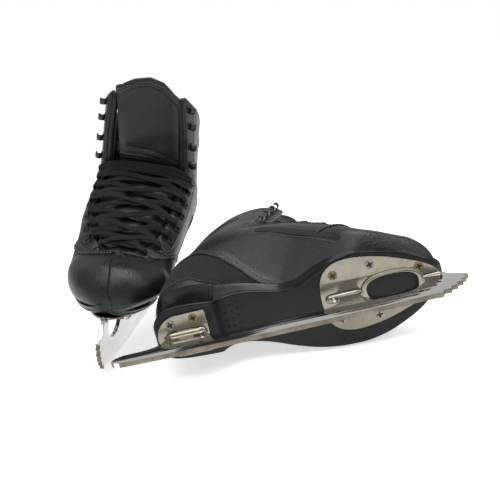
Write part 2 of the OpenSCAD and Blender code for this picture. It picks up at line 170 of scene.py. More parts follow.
def skin(s, t, side):
    """Points of the boot's outside.

    s runs from the toe to the collar in ring numbers, t from the sole or back (0) to the front ridge (1),
    and side is 1 for the outer half and -1 for the inner half.
    """
    s, t = np.broadcast_arrays(np.asarray(s, float), np.asarray(t, float))
    x0, z0, x1, z1, width, foot, belt, bend, low_power, top_power, shift = np.moveaxis(spline_rows(RINGS, s), -1, 0)
    u = (1 - np.cos(np.pi * t)) / 2
    grow = width * (foot + (1 - foot) * smooth(u / belt))
    low = (1 - (1 - np.clip(u / bend, 0, 1)) ** low_power) ** (1 / low_power)
    top = (1 - np.clip((u - belt) / (1 - belt), 0, 1) ** top_power) ** (1 / top_power)
    y = shift + side * (grow * tuck(s, u, side) + belly(s, u, side)) * low * top
    return np.stack([x0 + u * (x1 - x0), y, z0 + u * (z1 - z0)], -1)


def unit(v):
    return v / np.maximum(np.linalg.norm(v, axis=-1, keepdims=True), 1e-9)


def skin_normal(s, t, side):
    b = np.clip(s, 0, 21.9)
    a = np.clip(t, 0.01, 0.985)
    p = skin(b, a, side)
    n = unit(np.cross(skin(b + 0.05, a, side) - p, skin(b, a + 0.01, side) - p))
    return n * np.reshape(side, np.shape(side) + (1,)) if np.ndim(side) else n * side


def layer(s, t, side, d=0.0):
    """Points lifted d off the skin."""
    s, t = np.broadcast_arrays(np.asarray(s, float), np.asarray(t, float))
    return skin(s, t, side) + np.broadcast_to(d, s.shape)[..., None] * skin_normal(s, t, side)


def facing_t(s):
    """t of the front edge of the leather beside the tongue."""
    s = np.asarray(s, float)
    edge = 0.85 - 0.07 * smooth((s - 13) / 5) + 0.1495 * np.maximum(0, 1 - (s - THROAT) / 2.2) ** 2
    return np.where(s < THROAT, 0.9995, edge)


def rim_s(t):
    """Ring number of the collar's rim at t."""
    return np.interp(t, RIM[:, 0], RIM[:, 1])


ARC_S = np.linspace(0, 22, 221)
ARC_W = np.linspace(0, 90, 181)


def arc_table(side):
    """t for each place s (rows) and arc from the front ridge in mm (columns)."""
    t = np.linspace(1, 0, 400)
    arc = run_length(skin(ARC_S[:, None], t[None, :], side), 1)
    return np.array([np.interp(ARC_W, row, t) for row in arc])


ARC_T = {side: arc_table(side) for side in (1, -1)}


def front_t(s, w):
    """t and side of the point w mm around from the front ridge; w is positive towards the outer side."""
    s, w = np.broadcast_arrays(np.asarray(s, float), np.asarray(w, float))
    side = np.where(w < 0, -1, 1)
    i = np.clip(s / 0.1, 0, len(ARC_S) - 1.001)
    j = np.clip(np.abs(w) / 0.5, 0, len(ARC_W) - 1.001)
    i0, j0 = i.astype(int), j.astype(int)
    both = []
    for k in (1, -1):
        q = ARC_T[k]
        low = mix(q[i0, j0], q[i0, j0 + 1], j - j0)
        high = mix(q[i0 + 1, j0], q[i0 + 1, j0 + 1], j - j0)
        both.append(mix(low, high, i - i0))
    return np.where(side > 0, *both), side


def front(s, w, d=0.0):
    """Points lifted d off the skin, w mm around from the front ridge."""
    t, side = front_t(s, w)
    return layer(s, t, side, d)


def front_normal(s, w):
    t, side = front_t(s, w)
    return skin_normal(s, t, side)


def arc_at(s, t, side):
    """Arc from the front ridge to t at one s, in mm."""
    row = np.array([np.interp(s, ARC_S, ARC_T[side][:, k]) for k in range(len(ARC_W))])
    return float(np.interp(-t, -row, ARC_W))


# ---------------------------------------------------------------- placement


ANKLE_X, ANKLE_Z = 75, 150
CREASE_X, CREASE_Z = 114, 172


def local_frame(side):
    """4x4 from the skate's millimetres to the shared frame, from the two joints and the blade's face."""
    ankle = np.array(JOINTS[side + "_cuff_flex"]["pos_m"])
    crease = np.array(JOINTS[side + "_tongue_flex"]["pos_m"])
    outer = unit(np.array(MOUNTS[side + "_blade_lateral_face"]["axis"], float))
    along = unit(crease - ankle)
    upright = np.cross(along, outer) * (1 if side == "left" else -1)
    slope = math.atan2(CREASE_Z - ANKLE_Z, CREASE_X - ANKLE_X)
    x = math.cos(slope) * along - math.sin(slope) * upright
    z = math.sin(slope) * along + math.cos(slope) * upright
    m = np.eye(4)
    m[:3, :3] = np.stack([x, outer, z], 1) * MM
    m[:3, 3] = ankle - m[:3, :3] @ np.array([ANKLE_X, 0.0, ANKLE_Z])
    return m


PLACE = {side: local_frame(side) for side in SIDES}


def carry(side, points):
    m = PLACE[side]
    return np.asarray(points, float) @ m[:3, :3].T + m[:3, 3]


# ---------------------------------------------------------------- mesh helpers


class Shape:
    """Collects vertices, faces, material numbers and a per-vertex pattern coordinate."""

    def __init__(self):
        self.v, self.f, self.m, self.uv = [], [], [], []
        self.n = 0

    def add(self, v, f, mat=0, uv=None):
        v = np.asarray(v, float).reshape(-1, 3)
        uv = np.zeros((len(v), 3)) if uv is None else np.asarray(uv, float).reshape(-1, 3)
        f = [tuple(int(k) + self.n for k in q) for q in f]
        self.v.append(v)
        self.uv.append(uv)
        self.f += f
        self.m += mat if isinstance(mat, list) else [mat] * len(f)
        self.n += len(v)

    def join(self, other, mat):
        """Adds another Shape's geometry under one material number."""
        self.v += other.v
        self.uv += other.uv
        self.f += [tuple(k + self.n for k in q) for q in other.f]
        self.m += [mat] * len(other.f)
        self.n += other.n


def grid_faces(n, m, wrap=False, start=0):
    """Faces over n rows of m vertices; wrap joins each row's end to its start."""
    faces = []
    for a in range(start, start + (n - 1) * m, m):
        for j in range(m if wrap else m - 1):
            k = (j + 1) % m
            faces.append((a + j, a + k, a + m + k, a + m + j))
    return faces


def border_loop(n, m):
    """Indices of an n by m grid's edge, in order."""
    a = [(0, j) for j in range(m)] + [(i, m - 1) for i in range(1, n)]
    b = [(n - 1, j) for j in range(m - 2, -1, -1)] + [(i, 0) for i in range(n - 2, 0, -1)]
    return np.array(a + b)


def sweep_faces(n, m):
    """Faces of n closed rings of m vertices, with a cap at both ends."""
    return grid_faces(n, m, wrap=True) + [tuple(range(m))[::-1], tuple((n - 1) * m + j for j in range(m))]


def bridge(a, b):
    """Faces between two loops of vertex numbers."""
    n = len(a)
    return [(a[k], b[k], b[(k + 1) % n], a[(k + 1) % n]) for k in range(n)]


def sheet(shape, p, nrm, thick, uv, mat=0, rounds=3):
    """A closed sheet under the grid p, thick deep against nrm, with its whole edge rounded outwards."""
    n, m = p.shape[:2]
    loop = border_loop(n, m)
    li, lj = loop[:, 0], loop[:, 1]
    edge, en, euv = p[li, lj], nrm[li, lj], uv[li, lj]
    tan = unit(np.roll(edge, -1, 0) - np.roll(edge, 1, 0))
    out = unit(np.cross(tan, en))
    centre = p[n // 2, m // 2]
    if np.sum(np.einsum("ij,ij->i", out, edge - centre)) < 0:
        out = -out
    r = thick / 2
    turns = np.linspace(0, math.pi, 2 * rounds + 1)[1:-1]
    rows = [edge + out * r * math.sin(a) + en * (r * math.cos(a) - r) for a in turns]
    top = p.reshape(-1, 3)
    low = (p - nrm * thick).reshape(-1, 3)
    verts = np.concatenate([top] + rows + [low])
    uvs = np.concatenate([uv.reshape(-1, 3)] + [euv] * len(rows) + [uv.reshape(-1, 3)])
    size, count = n * m, len(loop)
    low0 = size + len(rows) * count
    faces = grid_faces(n, m)
    faces += [q[::-1] for q in grid_faces(n, m, start=low0)]
    ids = [list(li * m + lj)] + [list(range(size + k * count, size + (k + 1) * count)) for k in range(len(rows))]
    ids.append(list(low0 + li * m + lj))
    for a, b in zip(ids[:-1], ids[1:]):
        faces += bridge(a, b)
    shape.add(verts, faces, mat, uvs)


# The pieces that keep their shape where the left boot's toe is drawn in, and by how much it is.
STIFF = ("sole_unit", "sole_mount", "heel_mount", "sole_screw_set", "heel_screw_set", "runner_blade")
SLIM_INNER, SLIM_OUTER, SLIM_FROM, SLIM_OVER = 0.24, 0.17, 172, 54
SHORTEN, SHORTEN_FROM, SHORTEN_OVER = 4, 210, 40


def slim_toe(v):
    """Draws in the toe of the left boot, which is slimmer and shorter than the right one."""
    x, y, z = v.T
    narrow = np.where(y < 0, SLIM_INNER, SLIM_OUTER) * smooth((x - SLIM_FROM) / SLIM_OVER)
    return np.stack([x - SHORTEN * smooth((x - SHORTEN_FROM) / SHORTEN_OVER), y * (1 - narrow), z], 1)


def make_object(name, shape, side, mats, weld=0.0):
    """Turns a Shape in skate millimetres into a mesh object in the shared frame."""
    v = np.concatenate(shape.v)
    mesh = bpy.data.meshes.new(name)
    fitted = slim_toe(v) if side == "left" and name not in STIFF else v
    mesh.from_pydata(carry(side, fitted).tolist(), [], shape.f)
    for key, values in (("loc", v), ("pattern", np.concatenate(shape.uv))):
        attribute = mesh.attributes.new(key, "FLOAT_VECTOR", "POINT")
        attribute.data.foreach_set("vector", values.astype(np.float32).ravel())
    for m in mats:
        mesh.materials.append(MATERIALS[m])
    mesh.polygons.foreach_set("material_index", shape.m)
    mesh.polygons.foreach_set("use_smooth", [True] * len(mesh.polygons))
    mesh.update()
    mesh.validate()
    ob = bpy.data.objects.new(side + "_" + name, mesh)
    bpy.context.scene.collection.objects.link(ob)
    bm = bmesh.new()
    bm.from_mesh(mesh)
    if weld:
        bmesh.ops.remove_doubles(bm, verts=bm.verts, dist=weld)
    bmesh.ops.recalc_face_normals(bm, faces=bm.faces)
    bm.to_mesh(mesh)
    bm.free()
    return ob


def sharpen(ob, angle):
    """Keeps edges sharper than angle crisp under smooth shading."""
    ob.data.set_sharp_from_angle(angle=math.radians(angle))


def tube(shape, path, up, profile, mat=0):
    """Sweeps profile (points across, up) along path and closes both ends; the profile may differ per point."""
    n, m = len(path), profile.shape[-2]
    tan = unit(np.gradient(path, axis=0))
    across = unit(np.cross(up, tan))
    lift = unit(np.cross(tan, across))
    prof = np.broadcast_to(profile, (n,) + profile.shape[-2:])
    v = path[:, None] + across[:, None] * prof[..., :1] + lift[:, None] * prof[..., 1:]
    uv = np.stack([np.broadcast_to(run_length(path)[:, None], (n, m)), prof[..., 0], prof[..., 1]], -1)
    shape.add(v, sweep_faces(n, m), mat, uv)


def circle_profile(r, n=8, flat=1.0):
    a = np.linspace(0, 2 * math.pi, n, endpoint=False)
    return np.stack([r * np.cos(a), r * flat * np.sin(a)], 1)


def resample(path, step):
    """Points about step apart along a path."""
    d = run_length(path)
    n = max(2, int(round(d[-1] / step)) + 1)
    q = np.linspace(0, d[-1], n)
    return np.stack([np.interp(q, d, path[:, k]) for k in range(path.shape[1])], 1)


# ---------------------------------------------------------------- materials


class Mat:
    """A node material under construction; every pattern runs in the skate's millimetres."""

    def __init__(self, name, base, rough=0.5, metal=0.0):
        self.mat = bpy.data.materials.new(name)
        self.mat.use_nodes = True
        self.nodes = self.mat.node_tree.nodes
        self.links = self.mat.node_tree.links
        self.bsdf = self.nodes["Principled BSDF"]
        self.bsdf.inputs["Base Color"].default_value = (*base, 1)
        self.bsdf.inputs["Roughness"].default_value = rough
        self.bsdf.inputs["Metallic"].default_value = metal
        self.mat.diffuse_color = (*base, 1)
        self.normal = None

    def node(self, kind, **values):
        n = self.nodes.new(kind)
        for key, value in values.items():
            if key in n.inputs:
                self.put(n.inputs[key], value)
            else:
                setattr(n, key, value)
        return n

    def put(self, socket, value):
        if isinstance(value, bpy.types.NodeSocket):
            self.links.new(value, socket)
        elif isinstance(value, bpy.types.Node):
            self.links.new(value.outputs[0], socket)
        else:
            socket.default_value = value

    def coord(self, name="loc", scale=(1, 1, 1)):
        a = self.node("ShaderNodeAttribute", attribute_name=name)
        return self.node("ShaderNodeMapping", Vector=a.outputs["Vector"], Scale=scale).outputs[0]

    def noise(self, scale, detail=3.0, rough=0.5, coord=None, distortion=0.0):
        n = self.node("ShaderNodeTexNoise", Scale=scale, Detail=detail, Roughness=rough, Distortion=distortion)
        self.put(n.inputs["Vector"], coord or self.coord())
        return n.outputs["Fac"]

    def cells(self, scale, feature="F1", coord=None, randomness=1.0):
        n = self.node("ShaderNodeTexVoronoi", feature=feature, Scale=scale, Randomness=randomness)
        self.put(n.inputs["Vector"], coord or self.coord())
        return n.outputs["Distance"]

    def math(self, op, a, b=0.0, c=0.0, clamp=False):
        n = self.node("ShaderNodeMath", operation=op, use_clamp=clamp)
        for k, v in enumerate((a, b, c)):
            self.put(n.inputs[k], v)
        return n.outputs[0]

    def ramp(self, value, low, high, to_low=0.0, to_high=1.0):
        n = self.node("ShaderNodeMapRange")
        for k, v in enumerate((value, low, high, to_low, to_high)):
            self.put(n.inputs[k], v)
        return n.outputs[0]

    def blend_colour(self, fac, a, b):
        n = self.node("ShaderNodeMix", data_type="RGBA")
        self.put(n.inputs[0], fac)
        self.put(n.inputs[6], (*a, 1) if isinstance(a, tuple) else a)
        self.put(n.inputs[7], (*b, 1) if isinstance(b, tuple) else b)
        return n.outputs[2]

    def colour(self, socket):
        self.put(self.bsdf.inputs["Base Color"], socket)

    def roughness(self, socket):
        self.put(self.bsdf.inputs["Roughness"], socket)

    def bump(self, height, depth_mm, strength=1.0):
        n = self.node("ShaderNodeBump", Strength=strength, Distance=depth_mm * MM, Height=height)
        if self.normal is not None:
            self.put(n.inputs["Normal"], self.normal)
        self.normal = n.outputs[0]
        self.put(self.bsdf.inputs["Normal"], self.normal)

    def set(self, **values):
        for key, value in values.items():
            self.put(self.bsdf.inputs[key.replace("_", " ")], value)


def leather(name, base, rough, grain, scuff):
    """Smooth dyed leather: pebbled grain, fine pores, soft colour change and rubbed patches."""
    m = Mat(name, base, rough)
    broad = m.noise(0.03, 4.0, 0.6)
    pores = m.noise(2.6, 2.0, 0.6)
    pebble = m.cells(0.85, "SMOOTH_F1")
    worn = m.ramp(m.noise(0.09, 6.0, 0.72, distortion=0.6), 0.58, 0.74)
    worn = m.math("MULTIPLY", worn, m.ramp(pores, 0.3, 0.7), clamp=True)
    light = tuple(min(1, c * 1.9 + 0.008) for c in base)
    dark = tuple(c * 0.75 for c in base)
    tone = m.blend_colour(m.ramp(broad, 0.3, 0.7), dark, tuple(c * 1.2 for c in base))
    m.colour(m.blend_colour(m.math("MULTIPLY", worn, scuff), tone, light))
    matt = m.math("MULTIPLY", worn, 0.22 * scuff)
    m.roughness(m.math("ADD", m.ramp(broad, 0.3, 0.7, rough - 0.06, rough + 0.07), matt))
    m.bump(pebble, grain, 0.8)
    m.bump(pores, grain * 0.35, 0.5)
    m.bump(m.noise(0.16, 3.0, 0.55), 0.5, 0.35)
    m.set(Sheen_Weight=0.03, Sheen_Roughness=0.45, Specular_IOR_Level=0.36)
    return m.mat


def mesh_cloth(name, base):
    """Spacer mesh: a staggered net of small raised cells."""
    m = Mat(name, base, 0.72)
    c = m.coord("pattern")
    cell = m.cells(0.45, "F1", c, 0.12)
    hole = m.ramp(cell, 0.28, 0.5)
    m.colour(m.blend_colour(hole, tuple(v * 2.6 for v in base), tuple(v * 0.3 for v in base)))
    m.roughness(m.ramp(hole, 0, 1, 0.85, 0.55))
    m.bump(hole, 0.6, 0.9)
    m.bump(m.noise(3.0, 2.0), 0.1, 0.4)
    m.set(Sheen_Weight=0.05, Specular_IOR_Level=0.25)
    return m.mat


def woven(name, base):
    """Flat woven lace: a herringbone of threads across its pattern coordinate."""
    pitch, along = 0.9, 0.6
    m = Mat(name, base, 0.8)
    a = m.node("ShaderNodeSeparateXYZ")
    m.put(a.inputs[0], m.coord("pattern"))
    slant = m.math("ABSOLUTE", m.math("SINE", m.math("MULTIPLY", a.outputs[1], math.pi / pitch)))
    leant = m.math("ADD", a.outputs[0], m.math("MULTIPLY", slant, 0.5))
    run = m.math("SINE", m.math("MULTIPLY", leant, 2 * math.pi / along))
    thread = m.ramp(m.math("MULTIPLY", m.math("ADD", run, 1.0), m.math("ADD", slant, 0.35)), 0.0, 2.7)
    m.colour(m.blend_colour(thread, tuple(v * 0.6 for v in base), tuple(v * 1.35 for v in base)))
    m.bump(thread, 0.22, 0.8)
    m.bump(m.noise(1.5, 3.0), 0.15, 0.4)
    m.set(Sheen_Weight=0.06, Sheen_Roughness=0.5, Specular_IOR_Level=0.25)
    return m.mat


def thread_material():
    m = Mat("stitch_thread", (0.03, 0.032, 0.036), 0.5)
    twist = m.noise(4.0, 1.0)
    m.bump(twist, 0.1, 0.6)
    m.colour(m.blend_colour(twist, (0.03, 0.032, 0.037), (0.085, 0.09, 0.1)))
    m.set(Sheen_Weight=0.1)
    return m.mat


def polished_steel(name, base, rough, smudge, scratch):
    """Chromed steel with smudges, fine drawn scratches and a few spots."""
    m = Mat(name, base, rough, 1.0)
    film = m.ramp(m.noise(0.045, 5.0, 0.65, distortion=1.2), 0.4, 0.75)
    fine = m.noise(0.5, 3.0, 0.7, m.coord(scale=(0.12, 2.0, 2.0)))
    spots = m.ramp(m.cells(0.16), 0.02, 0.09, 1.0, 0.0)
    dull = tuple(c * 0.72 for c in base)
    tone = m.blend_colour(m.math("MULTIPLY", film, smudge), base, dull)
    m.colour(m.blend_colour(m.math("MULTIPLY", spots, 0.5 * smudge), tone, (0.3, 0.22, 0.14)))
    m.roughness(m.math("ADD", m.ramp(film, 0, 1, rough, rough + 0.16 * smudge), m.math("MULTIPLY", fine, scratch)))
    m.bump(fine, 0.02, 0.25)
    m.bump(m.noise(0.025, 2.0), 0.25, 0.25)
    return m.mat


def ground_edge():
    """The sharpened bottom of the runner: dull, brownish, ground across."""
    m = Mat("ground_edge", (0.2, 0.17, 0.13), 0.48, 0.7)
    lines = m.noise(1.4, 2.0, 0.6, m.coord(scale=(1.0, 0.2, 0.4)))
    stain = m.noise(0.06, 4.0, 0.65)
    m.colour(m.blend_colour(m.ramp(stain, 0.35, 0.7), (0.22, 0.19, 0.15), (0.1, 0.08, 0.06)))
    m.roughness(m.ramp(lines, 0.3, 0.7, 0.34, 0.55))
    m.bump(lines, 0.06, 0.5)
    return m.mat


def sole_plastic(name, base, rough):
    """Moulded plastic, dusty in places."""
    m = Mat(name, base, rough)
    dust = m.ramp(m.noise(0.05, 6.0, 0.7), 0.5, 0.8)
    grit = m.noise(1.2, 4.0, 0.7)
    m.colour(m.blend_colour(m.math("MULTIPLY", dust, 0.45), base, (0.012, 0.012, 0.0135)))
    m.roughness(m.math("ADD", m.ramp(dust, 0, 1, rough, rough + 0.25), m.math("MULTIPLY", grit, 0.08)))
    m.set(Specular_IOR_Level=0.3)
    m.bump(grit, 0.05, 0.4)
    m.bump(m.noise(0.08, 2.0), 0.3, 0.3)
    return m.mat


def lining_cloth():
    m = Mat("lining_cloth", (0.03, 0.03, 0.033), 0.9)
    weave = m.cells(1.3, "F1", None, 0.4)
    m.colour(m.blend_colour(m.ramp(weave, 0.1, 0.6), (0.006, 0.006, 0.007), (0.018, 0.018, 0.02)))
    m.bump(weave, 0.2, 0.5)
    m.set(Sheen_Weight=0.05, Specular_IOR_Level=0.2)
    return m.mat


def painted_metal(name, base):
    m = Mat(name, base, 0.32)
    chip = m.ramp(m.noise(0.5, 5.0, 0.7), 0.62, 0.7)
    m.colour(m.blend_colour(chip, base, (0.04, 0.04, 0.042)))
    m.roughness(m.ramp(m.noise(0.3, 3.0), 0.3, 0.7, 0.24, 0.42))
    m.bump(m.noise(0.9, 3.0), 0.06, 0.5)
    return m.mat


def screw_metal(name, base, rust):
    m = Mat(name, base, 0.25, 1.0)
    spot = m.ramp(m.noise(0.45, 5.0, 0.7), 0.5 - 0.25 * rust, 0.72)
    m.colour(m.blend_colour(m.math("MULTIPLY", spot, rust), base, (0.13, 0.085, 0.045)))
    m.roughness(m.ramp(spot, 0, 1, 0.22, 0.65))
    m.bump(m.noise(1.5, 3.0), 0.08, 0.4)
    return m.mat


MATERIALS = {
    "upper": leather("upper_leather", (0.0105, 0.0128, 0.0168), 0.38, 0.2, 0.45),
    "vamp": leather("toe_leather", (0.0065, 0.0078, 0.0100), 0.33, 0.38, 1.1),
    "facing": leather("facing_leather", (0.0115, 0.0135, 0.0168), 0.36, 0.16, 0.7),
    "tongue": leather("tongue_leather", (0.0058, 0.0070, 0.0094), 0.44, 0.16, 0.15),
    "binding": leather("binding_leather", (0.006, 0.0064, 0.0072), 0.5, 0.12, 0.2),
    "counter": leather("counter_leather", (0.0075, 0.008, 0.009), 0.34, 0.08, 0.3),
    "mesh": mesh_cloth("mesh_cloth", (0.010, 0.011, 0.013)),
    "lace": woven("lace_weave", (0.0068, 0.0074, 0.0090)),
    "thread": thread_material(),
    "runner": polished_steel("runner_chrome", (0.8, 0.79, 0.78), 0.04, 0.5, 0.04),
    "plate": polished_steel("plate_chrome", (0.27, 0.25, 0.205), 0.11, 0.9, 0.1),
    "edge": ground_edge(),
    "sole": sole_plastic("outsole_plastic", (0.0035, 0.0035, 0.004), 0.36),
    "sole_side": sole_plastic("outsole_side", (0.005, 0.005, 0.0056), 0.16),
    "lining": lining_cloth(),
    # Black paint of the eyelets and hooks, also used as painted shade at the bottom of the screws' cross recesses.
    "fitting": painted_metal("fitting_paint_and_recess_shade", (0.006, 0.006, 0.007)),
    "screw": screw_metal("screw_plated", (0.3, 0.285, 0.25), 0.4),
    "screw_rusty": screw_metal("screw_rusty", (0.3, 0.22, 0.11), 0.7),
}


# ---------------------------------------------------------------- leather upper

SEAM = 1.22
SEAM_SHIFT = 4.9
LEATHER = 2.4
TOE_CAP_END = 7.0


def crease_field(s, t, g):
    """How far worn leather stands in or out of the plain skin, in mm; g is the way from the front ridge."""
    d = 0.0
    for k, (c, w, a) in enumerate(((5.9, 0.10, 0.55), (6.35, 0.09, 0.7), (6.75, 0.10, 0.5))):
        bend = c + 0.25 * np.sin(g * 0.11 + k * 1.7) + 0.004 * g
        d = d - a * np.exp(-((s - bend) / w) ** 2) * smooth((34 - g) / 20) * (0.6 + 0.4 * np.sin(g * 0.31 + k))
    for k, (c, w, a) in enumerate(((13.9, 0.16, 0.8), (14.7, 0.2, 1.0), (15.6, 0.2, 0.9), (16.5, 0.2, 0.6))):
        bend = c + 0.3 * np.sin(t * 7 + k * 2.1)
        d = d - a * np.exp(-((s - bend) / w) ** 2) * smooth((t - 0.15) / 0.2) * smooth((0.86 - t) / 0.1)
    d = d + 0.35 * np.sin(s * 1.9 + 2.0 * np.sin(t * 5.0)) * np.sin(t * 9 + s * 0.7) * smooth((s - 2) / 3)
    return d


def upper_grid(side, n, m):
    """Rows from the toe to the collar rim, columns from the sole's middle to the front edge.

    Gives s, t, the way from the front ridge, and the half of the boot each point lies on.
    """
    f = np.linspace(0, 1, m)
    a = np.linspace(0, 1, n) ** 0.95
    rows_t = np.interp(f, [0, 0.5, 1], [0.0, 0.45, 0.86])
    s = a[:, None] * rim_s(rows_t)[None, :]
    t_hi = facing_t(s)
    tt = np.linspace(0, 1, 420)
    t = np.empty_like(s)
    g = np.empty_like(s)
    halves = np.empty_like(s)
    for i in range(n):
        arc = run_length(skin(s[i, m // 2], tt, side))
        end = np.interp(t_hi[i, -1], tt, arc)
        total = arc[-1]
        seam = 0.0
        if t_hi[i, -1] > 0.99:
            seam = SEAM + side * min(SEAM_SHIFT * (1 - smooth((s[i, -1] - 5.4) / 0.9)), 0.2 * total)
        want = mix(min(SEAM, 0.3 * end), max(end - seam, 0.6 * end), f)
        over = want > total
        t[i] = np.interp(np.where(over, 2 * total - want, want), arc, tt)
        g[i] = total - want
        halves[i] = np.where(over, -side, side)
    s = a[:, None] * rim_s(t)
    return s, t, g, halves


def build_upper(side):
    for half, sign in (("lateral", 1), ("medial", -1)):
        s, t, g, halves = upper_grid(sign, 230, 92)
        p = layer(s, t, halves, crease_field(s, t, np.abs(g)))
        shape = Shape()
        sheet(shape, p, skin_normal(s, t, halves), LEATHER, np.stack([s * 12, t * 100, g], -1))
        for k in np.flatnonzero(s[:-1, :-1] < TOE_CAP_END):
            shape.m[k] = 1
        ob = make_object("upper_" + half, shape, side, ["upper", "vamp"])
        hold(ob, side, "ankle", "upper_leather", "upper_" + half, "cuff_" + half)


# ---------------------------------------------------------------- shared builders for the details


def rounded(points, steps=5):
    """A polygon whose rows are x, y or x, y, corner radius; corners with a radius become smooth arcs."""
    out = []
    n = len(points)
    for k, p in enumerate(points):
        here = np.array(p[:2], float)
        r = p[2] if len(p) > 2 else 0
        if not r:
            out.append(here)
            continue
        a = np.array(points[k - 1][:2], float) - here
        b = np.array(points[(k + 1) % n][:2], float) - here
        a *= min(r / np.linalg.norm(a), 0.5)
        b *= min(r / np.linalg.norm(b), 0.5)
        for f in np.linspace(0, 1, steps):
            out.append(here + a * (1 - f) ** 2 + b * f**2)
    return np.array(out)


def oval(cx, cy, rx, ry, n=48, power=2.0):
    a = np.linspace(0, 2 * math.pi, n, endpoint=False)
    c, s = np.cos(a), np.sin(a)
    return np.stack([
        cx + rx * np.sign(c) * np.abs(c) ** (2 / power),
        cy + ry * np.sign(s) * np.abs(s) ** (2 / power),
    ], 1)


def plate(outlines, thick, bevel):
    """A flat plate with bevelled edges: vertices (outline plane, then thickness) and faces."""
    curve = bpy.data.curves.new("plate", "CURVE")
    curve.dimensions = "2D"
    curve.fill_mode = "BOTH"
    curve.extrude = thick / 2 - bevel
    curve.bevel_depth = bevel
    curve.bevel_resolution = 2
    curve.offset = -bevel
    for line in outlines:
        spline = curve.splines.new("POLY")
        spline.points.add(len(line) - 1)
        spline.points.foreach_set("co", np.column_stack([line, np.zeros(len(line)), np.ones(len(line))]).ravel())
        spline.use_cyclic_u = True
    ob = bpy.data.objects.new("plate", curve)
    bpy.context.scene.collection.objects.link(ob)
    mesh = bpy.data.meshes.new_from_object(ob.evaluated_get(bpy.context.evaluated_depsgraph_get()))
    verts = np.array([v.co for v in mesh.vertices])
    faces = [tuple(p.vertices) for p in mesh.polygons]
    bpy.data.objects.remove(ob)
    bpy.data.curves.remove(curve)
    bpy.data.meshes.remove(mesh)
    return verts, faces


def hold(ob, side, body, slot, *nodes):
    """Rides a piece on a body, or for the ankle bakes its placement into its mesh; hides the CAD nodes it stands
    for. slot, the finish's name, is not used.
    """
    if body == "ankle":
        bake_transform(ob)
    else:
        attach(ob, side + "_" + body)
    if nodes:
        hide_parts(*(side + "_" + n for n in nodes))


def step_on_skin(s, t, side, tangent, w):
    """The (s, t) that lie w mm sideways of a path on the skin."""
    e = 0.02
    ps = (skin(s + e, t, side) - skin(s - e, t, side)) / (2 * e)
    pt = (skin(s, np.minimum(t + 0.002, 1), side) - skin(s, np.maximum(t - 0.002, 0), side)) / 0.004
    b = unit(np.cross(skin_normal(s, t, side), tangent)) * np.asarray(w)[..., None]
    a11, a12, a22 = (np.sum(x * y, -1) for x, y in ((ps, ps), (ps, pt), (pt, pt)))
    b1, b2 = np.sum(ps * b, -1), np.sum(pt * b, -1)
    det = a11 * a22 - a12 * a12
    return s + (b1 * a22 - b2 * a12) / det, np.clip(t + (b2 * a11 - b1 * a12) / det, 0.003, 0.9995)


def skin_path(knots, side, step=2.0):
    """A smooth path on the skin through knots of (s, t), about step mm apart."""
    knots = np.array(knots, float)
    ext = np.concatenate([[2 * knots[0] - knots[1]], knots, [2 * knots[-1] - knots[-2]]])
    out = []
    for k in range(1, len(ext) - 2):
        for f in np.linspace(0, 1, 12, endpoint=False):
            a, b, c, d = ext[k - 1 : k + 3]
            out.append(catmull_rom(a, b, c, d, f))
    out.append(knots[-1])
    out = np.array(out)
    out[:, 1] = np.clip(out[:, 1], 0.003, 0.9995)
    dist = run_length(skin(out[:, 0], out[:, 1], side))
    n = max(3, int(dist[-1] / step) + 1)
    q = np.linspace(0, dist[-1], n)
    return np.interp(q, dist, out[:, 0]), np.interp(q, dist, out[:, 1])


def offset_path(path, side, w):
    """A path on the skin w mm beside another."""
    s, t = path
    tangent = unit(np.gradient(skin(s, t, side), axis=0))
    return step_on_skin(s, t, side, tangent, w)


def sew(shape, coords, place, normal, pitch, length, r, mat=0):
    """Short raised threads along coords (two on the surface, one above it); place and normal read them."""
    dist = run_length(place(*coords))
    size = np.array([0.45, 1, 1, 0.45])[:, None, None]
    for at in np.arange(pitch / 2, dist[-1] - pitch / 2, pitch):
        q = at + np.array([-0.5, -0.3, 0.3, 0.5]) * length
        a, b, d = (np.interp(q, dist, c) for c in coords)
        line = place(a, b, d + np.array([-0.35, 0.1, 0.1, -0.35]))
        tube(shape, line, normal(a, b), circle_profile(r, 6)[None] * size, mat)


def stitches(shape, path, side, lift, pitch=3.0, length=2.0):
    """A seam along a path on the skin."""
    s, t = path
    sew(shape, (s, t, lift + 0 * s), lambda a, b, d: layer(a, b, side, d), lambda a, b: skin_normal(a, b, side),
        pitch, length, 0.5)


def wedge(shape, path, side, width, high, mat):
    """A leather edge: high above the skin along the path, easing down to it over width mm."""
    tall, toes = [], []
    for f in np.linspace(0, 1, 7):
        s, t = offset_path(path, side, width * f)
        tall.append(layer(s, t, side, mix(high, 0.15, smooth(f))))
        toes.append(layer(s, t, side, -0.6))
    top, low = (np.array(q).transpose(1, 0, 2) for q in (tall, toes))
    n, m = top.shape[:2]
    faces = grid_faces(n, m) + [q[::-1] for q in grid_faces(n, m, start=n * m)]
    ids = border_loop(n, m) @ [m, 1]
    shape.add(np.concatenate([top.reshape(-1, 3), low.reshape(-1, 3)]), faces + bridge(ids, n * m + ids), mat)


def patch(shape, rows_s, rows_t, side, lift, thick, mat):
    """A closed sheet lying on the skin over a grid of (s, t)."""
    p = layer(rows_s, rows_t, side, lift)
    a, b = run_length(p, 0), run_length(p, 1)
    sheet(shape, p, skin_normal(rows_s, rows_t, side), thick, np.stack([a, b, 0 * a], -1), mat, 2)


# ---------------------------------------------------------------- blade and plates

RUNNER_T = 4.0
BAR_H = 22.0
TAIL_X = -34.0
SOLE_PLATE_Z = 51.5
HEEL_PLATE_Z = 43.5
PLATE_T = 2.5
ROCKER_X, ROCKER_R = 120.0, 2200.0


def ice_z(x):
    """Height of the rocker-ground bottom of the blade."""
    return (x - ROCKER_X) ** 2 / (2 * ROCKER_R)


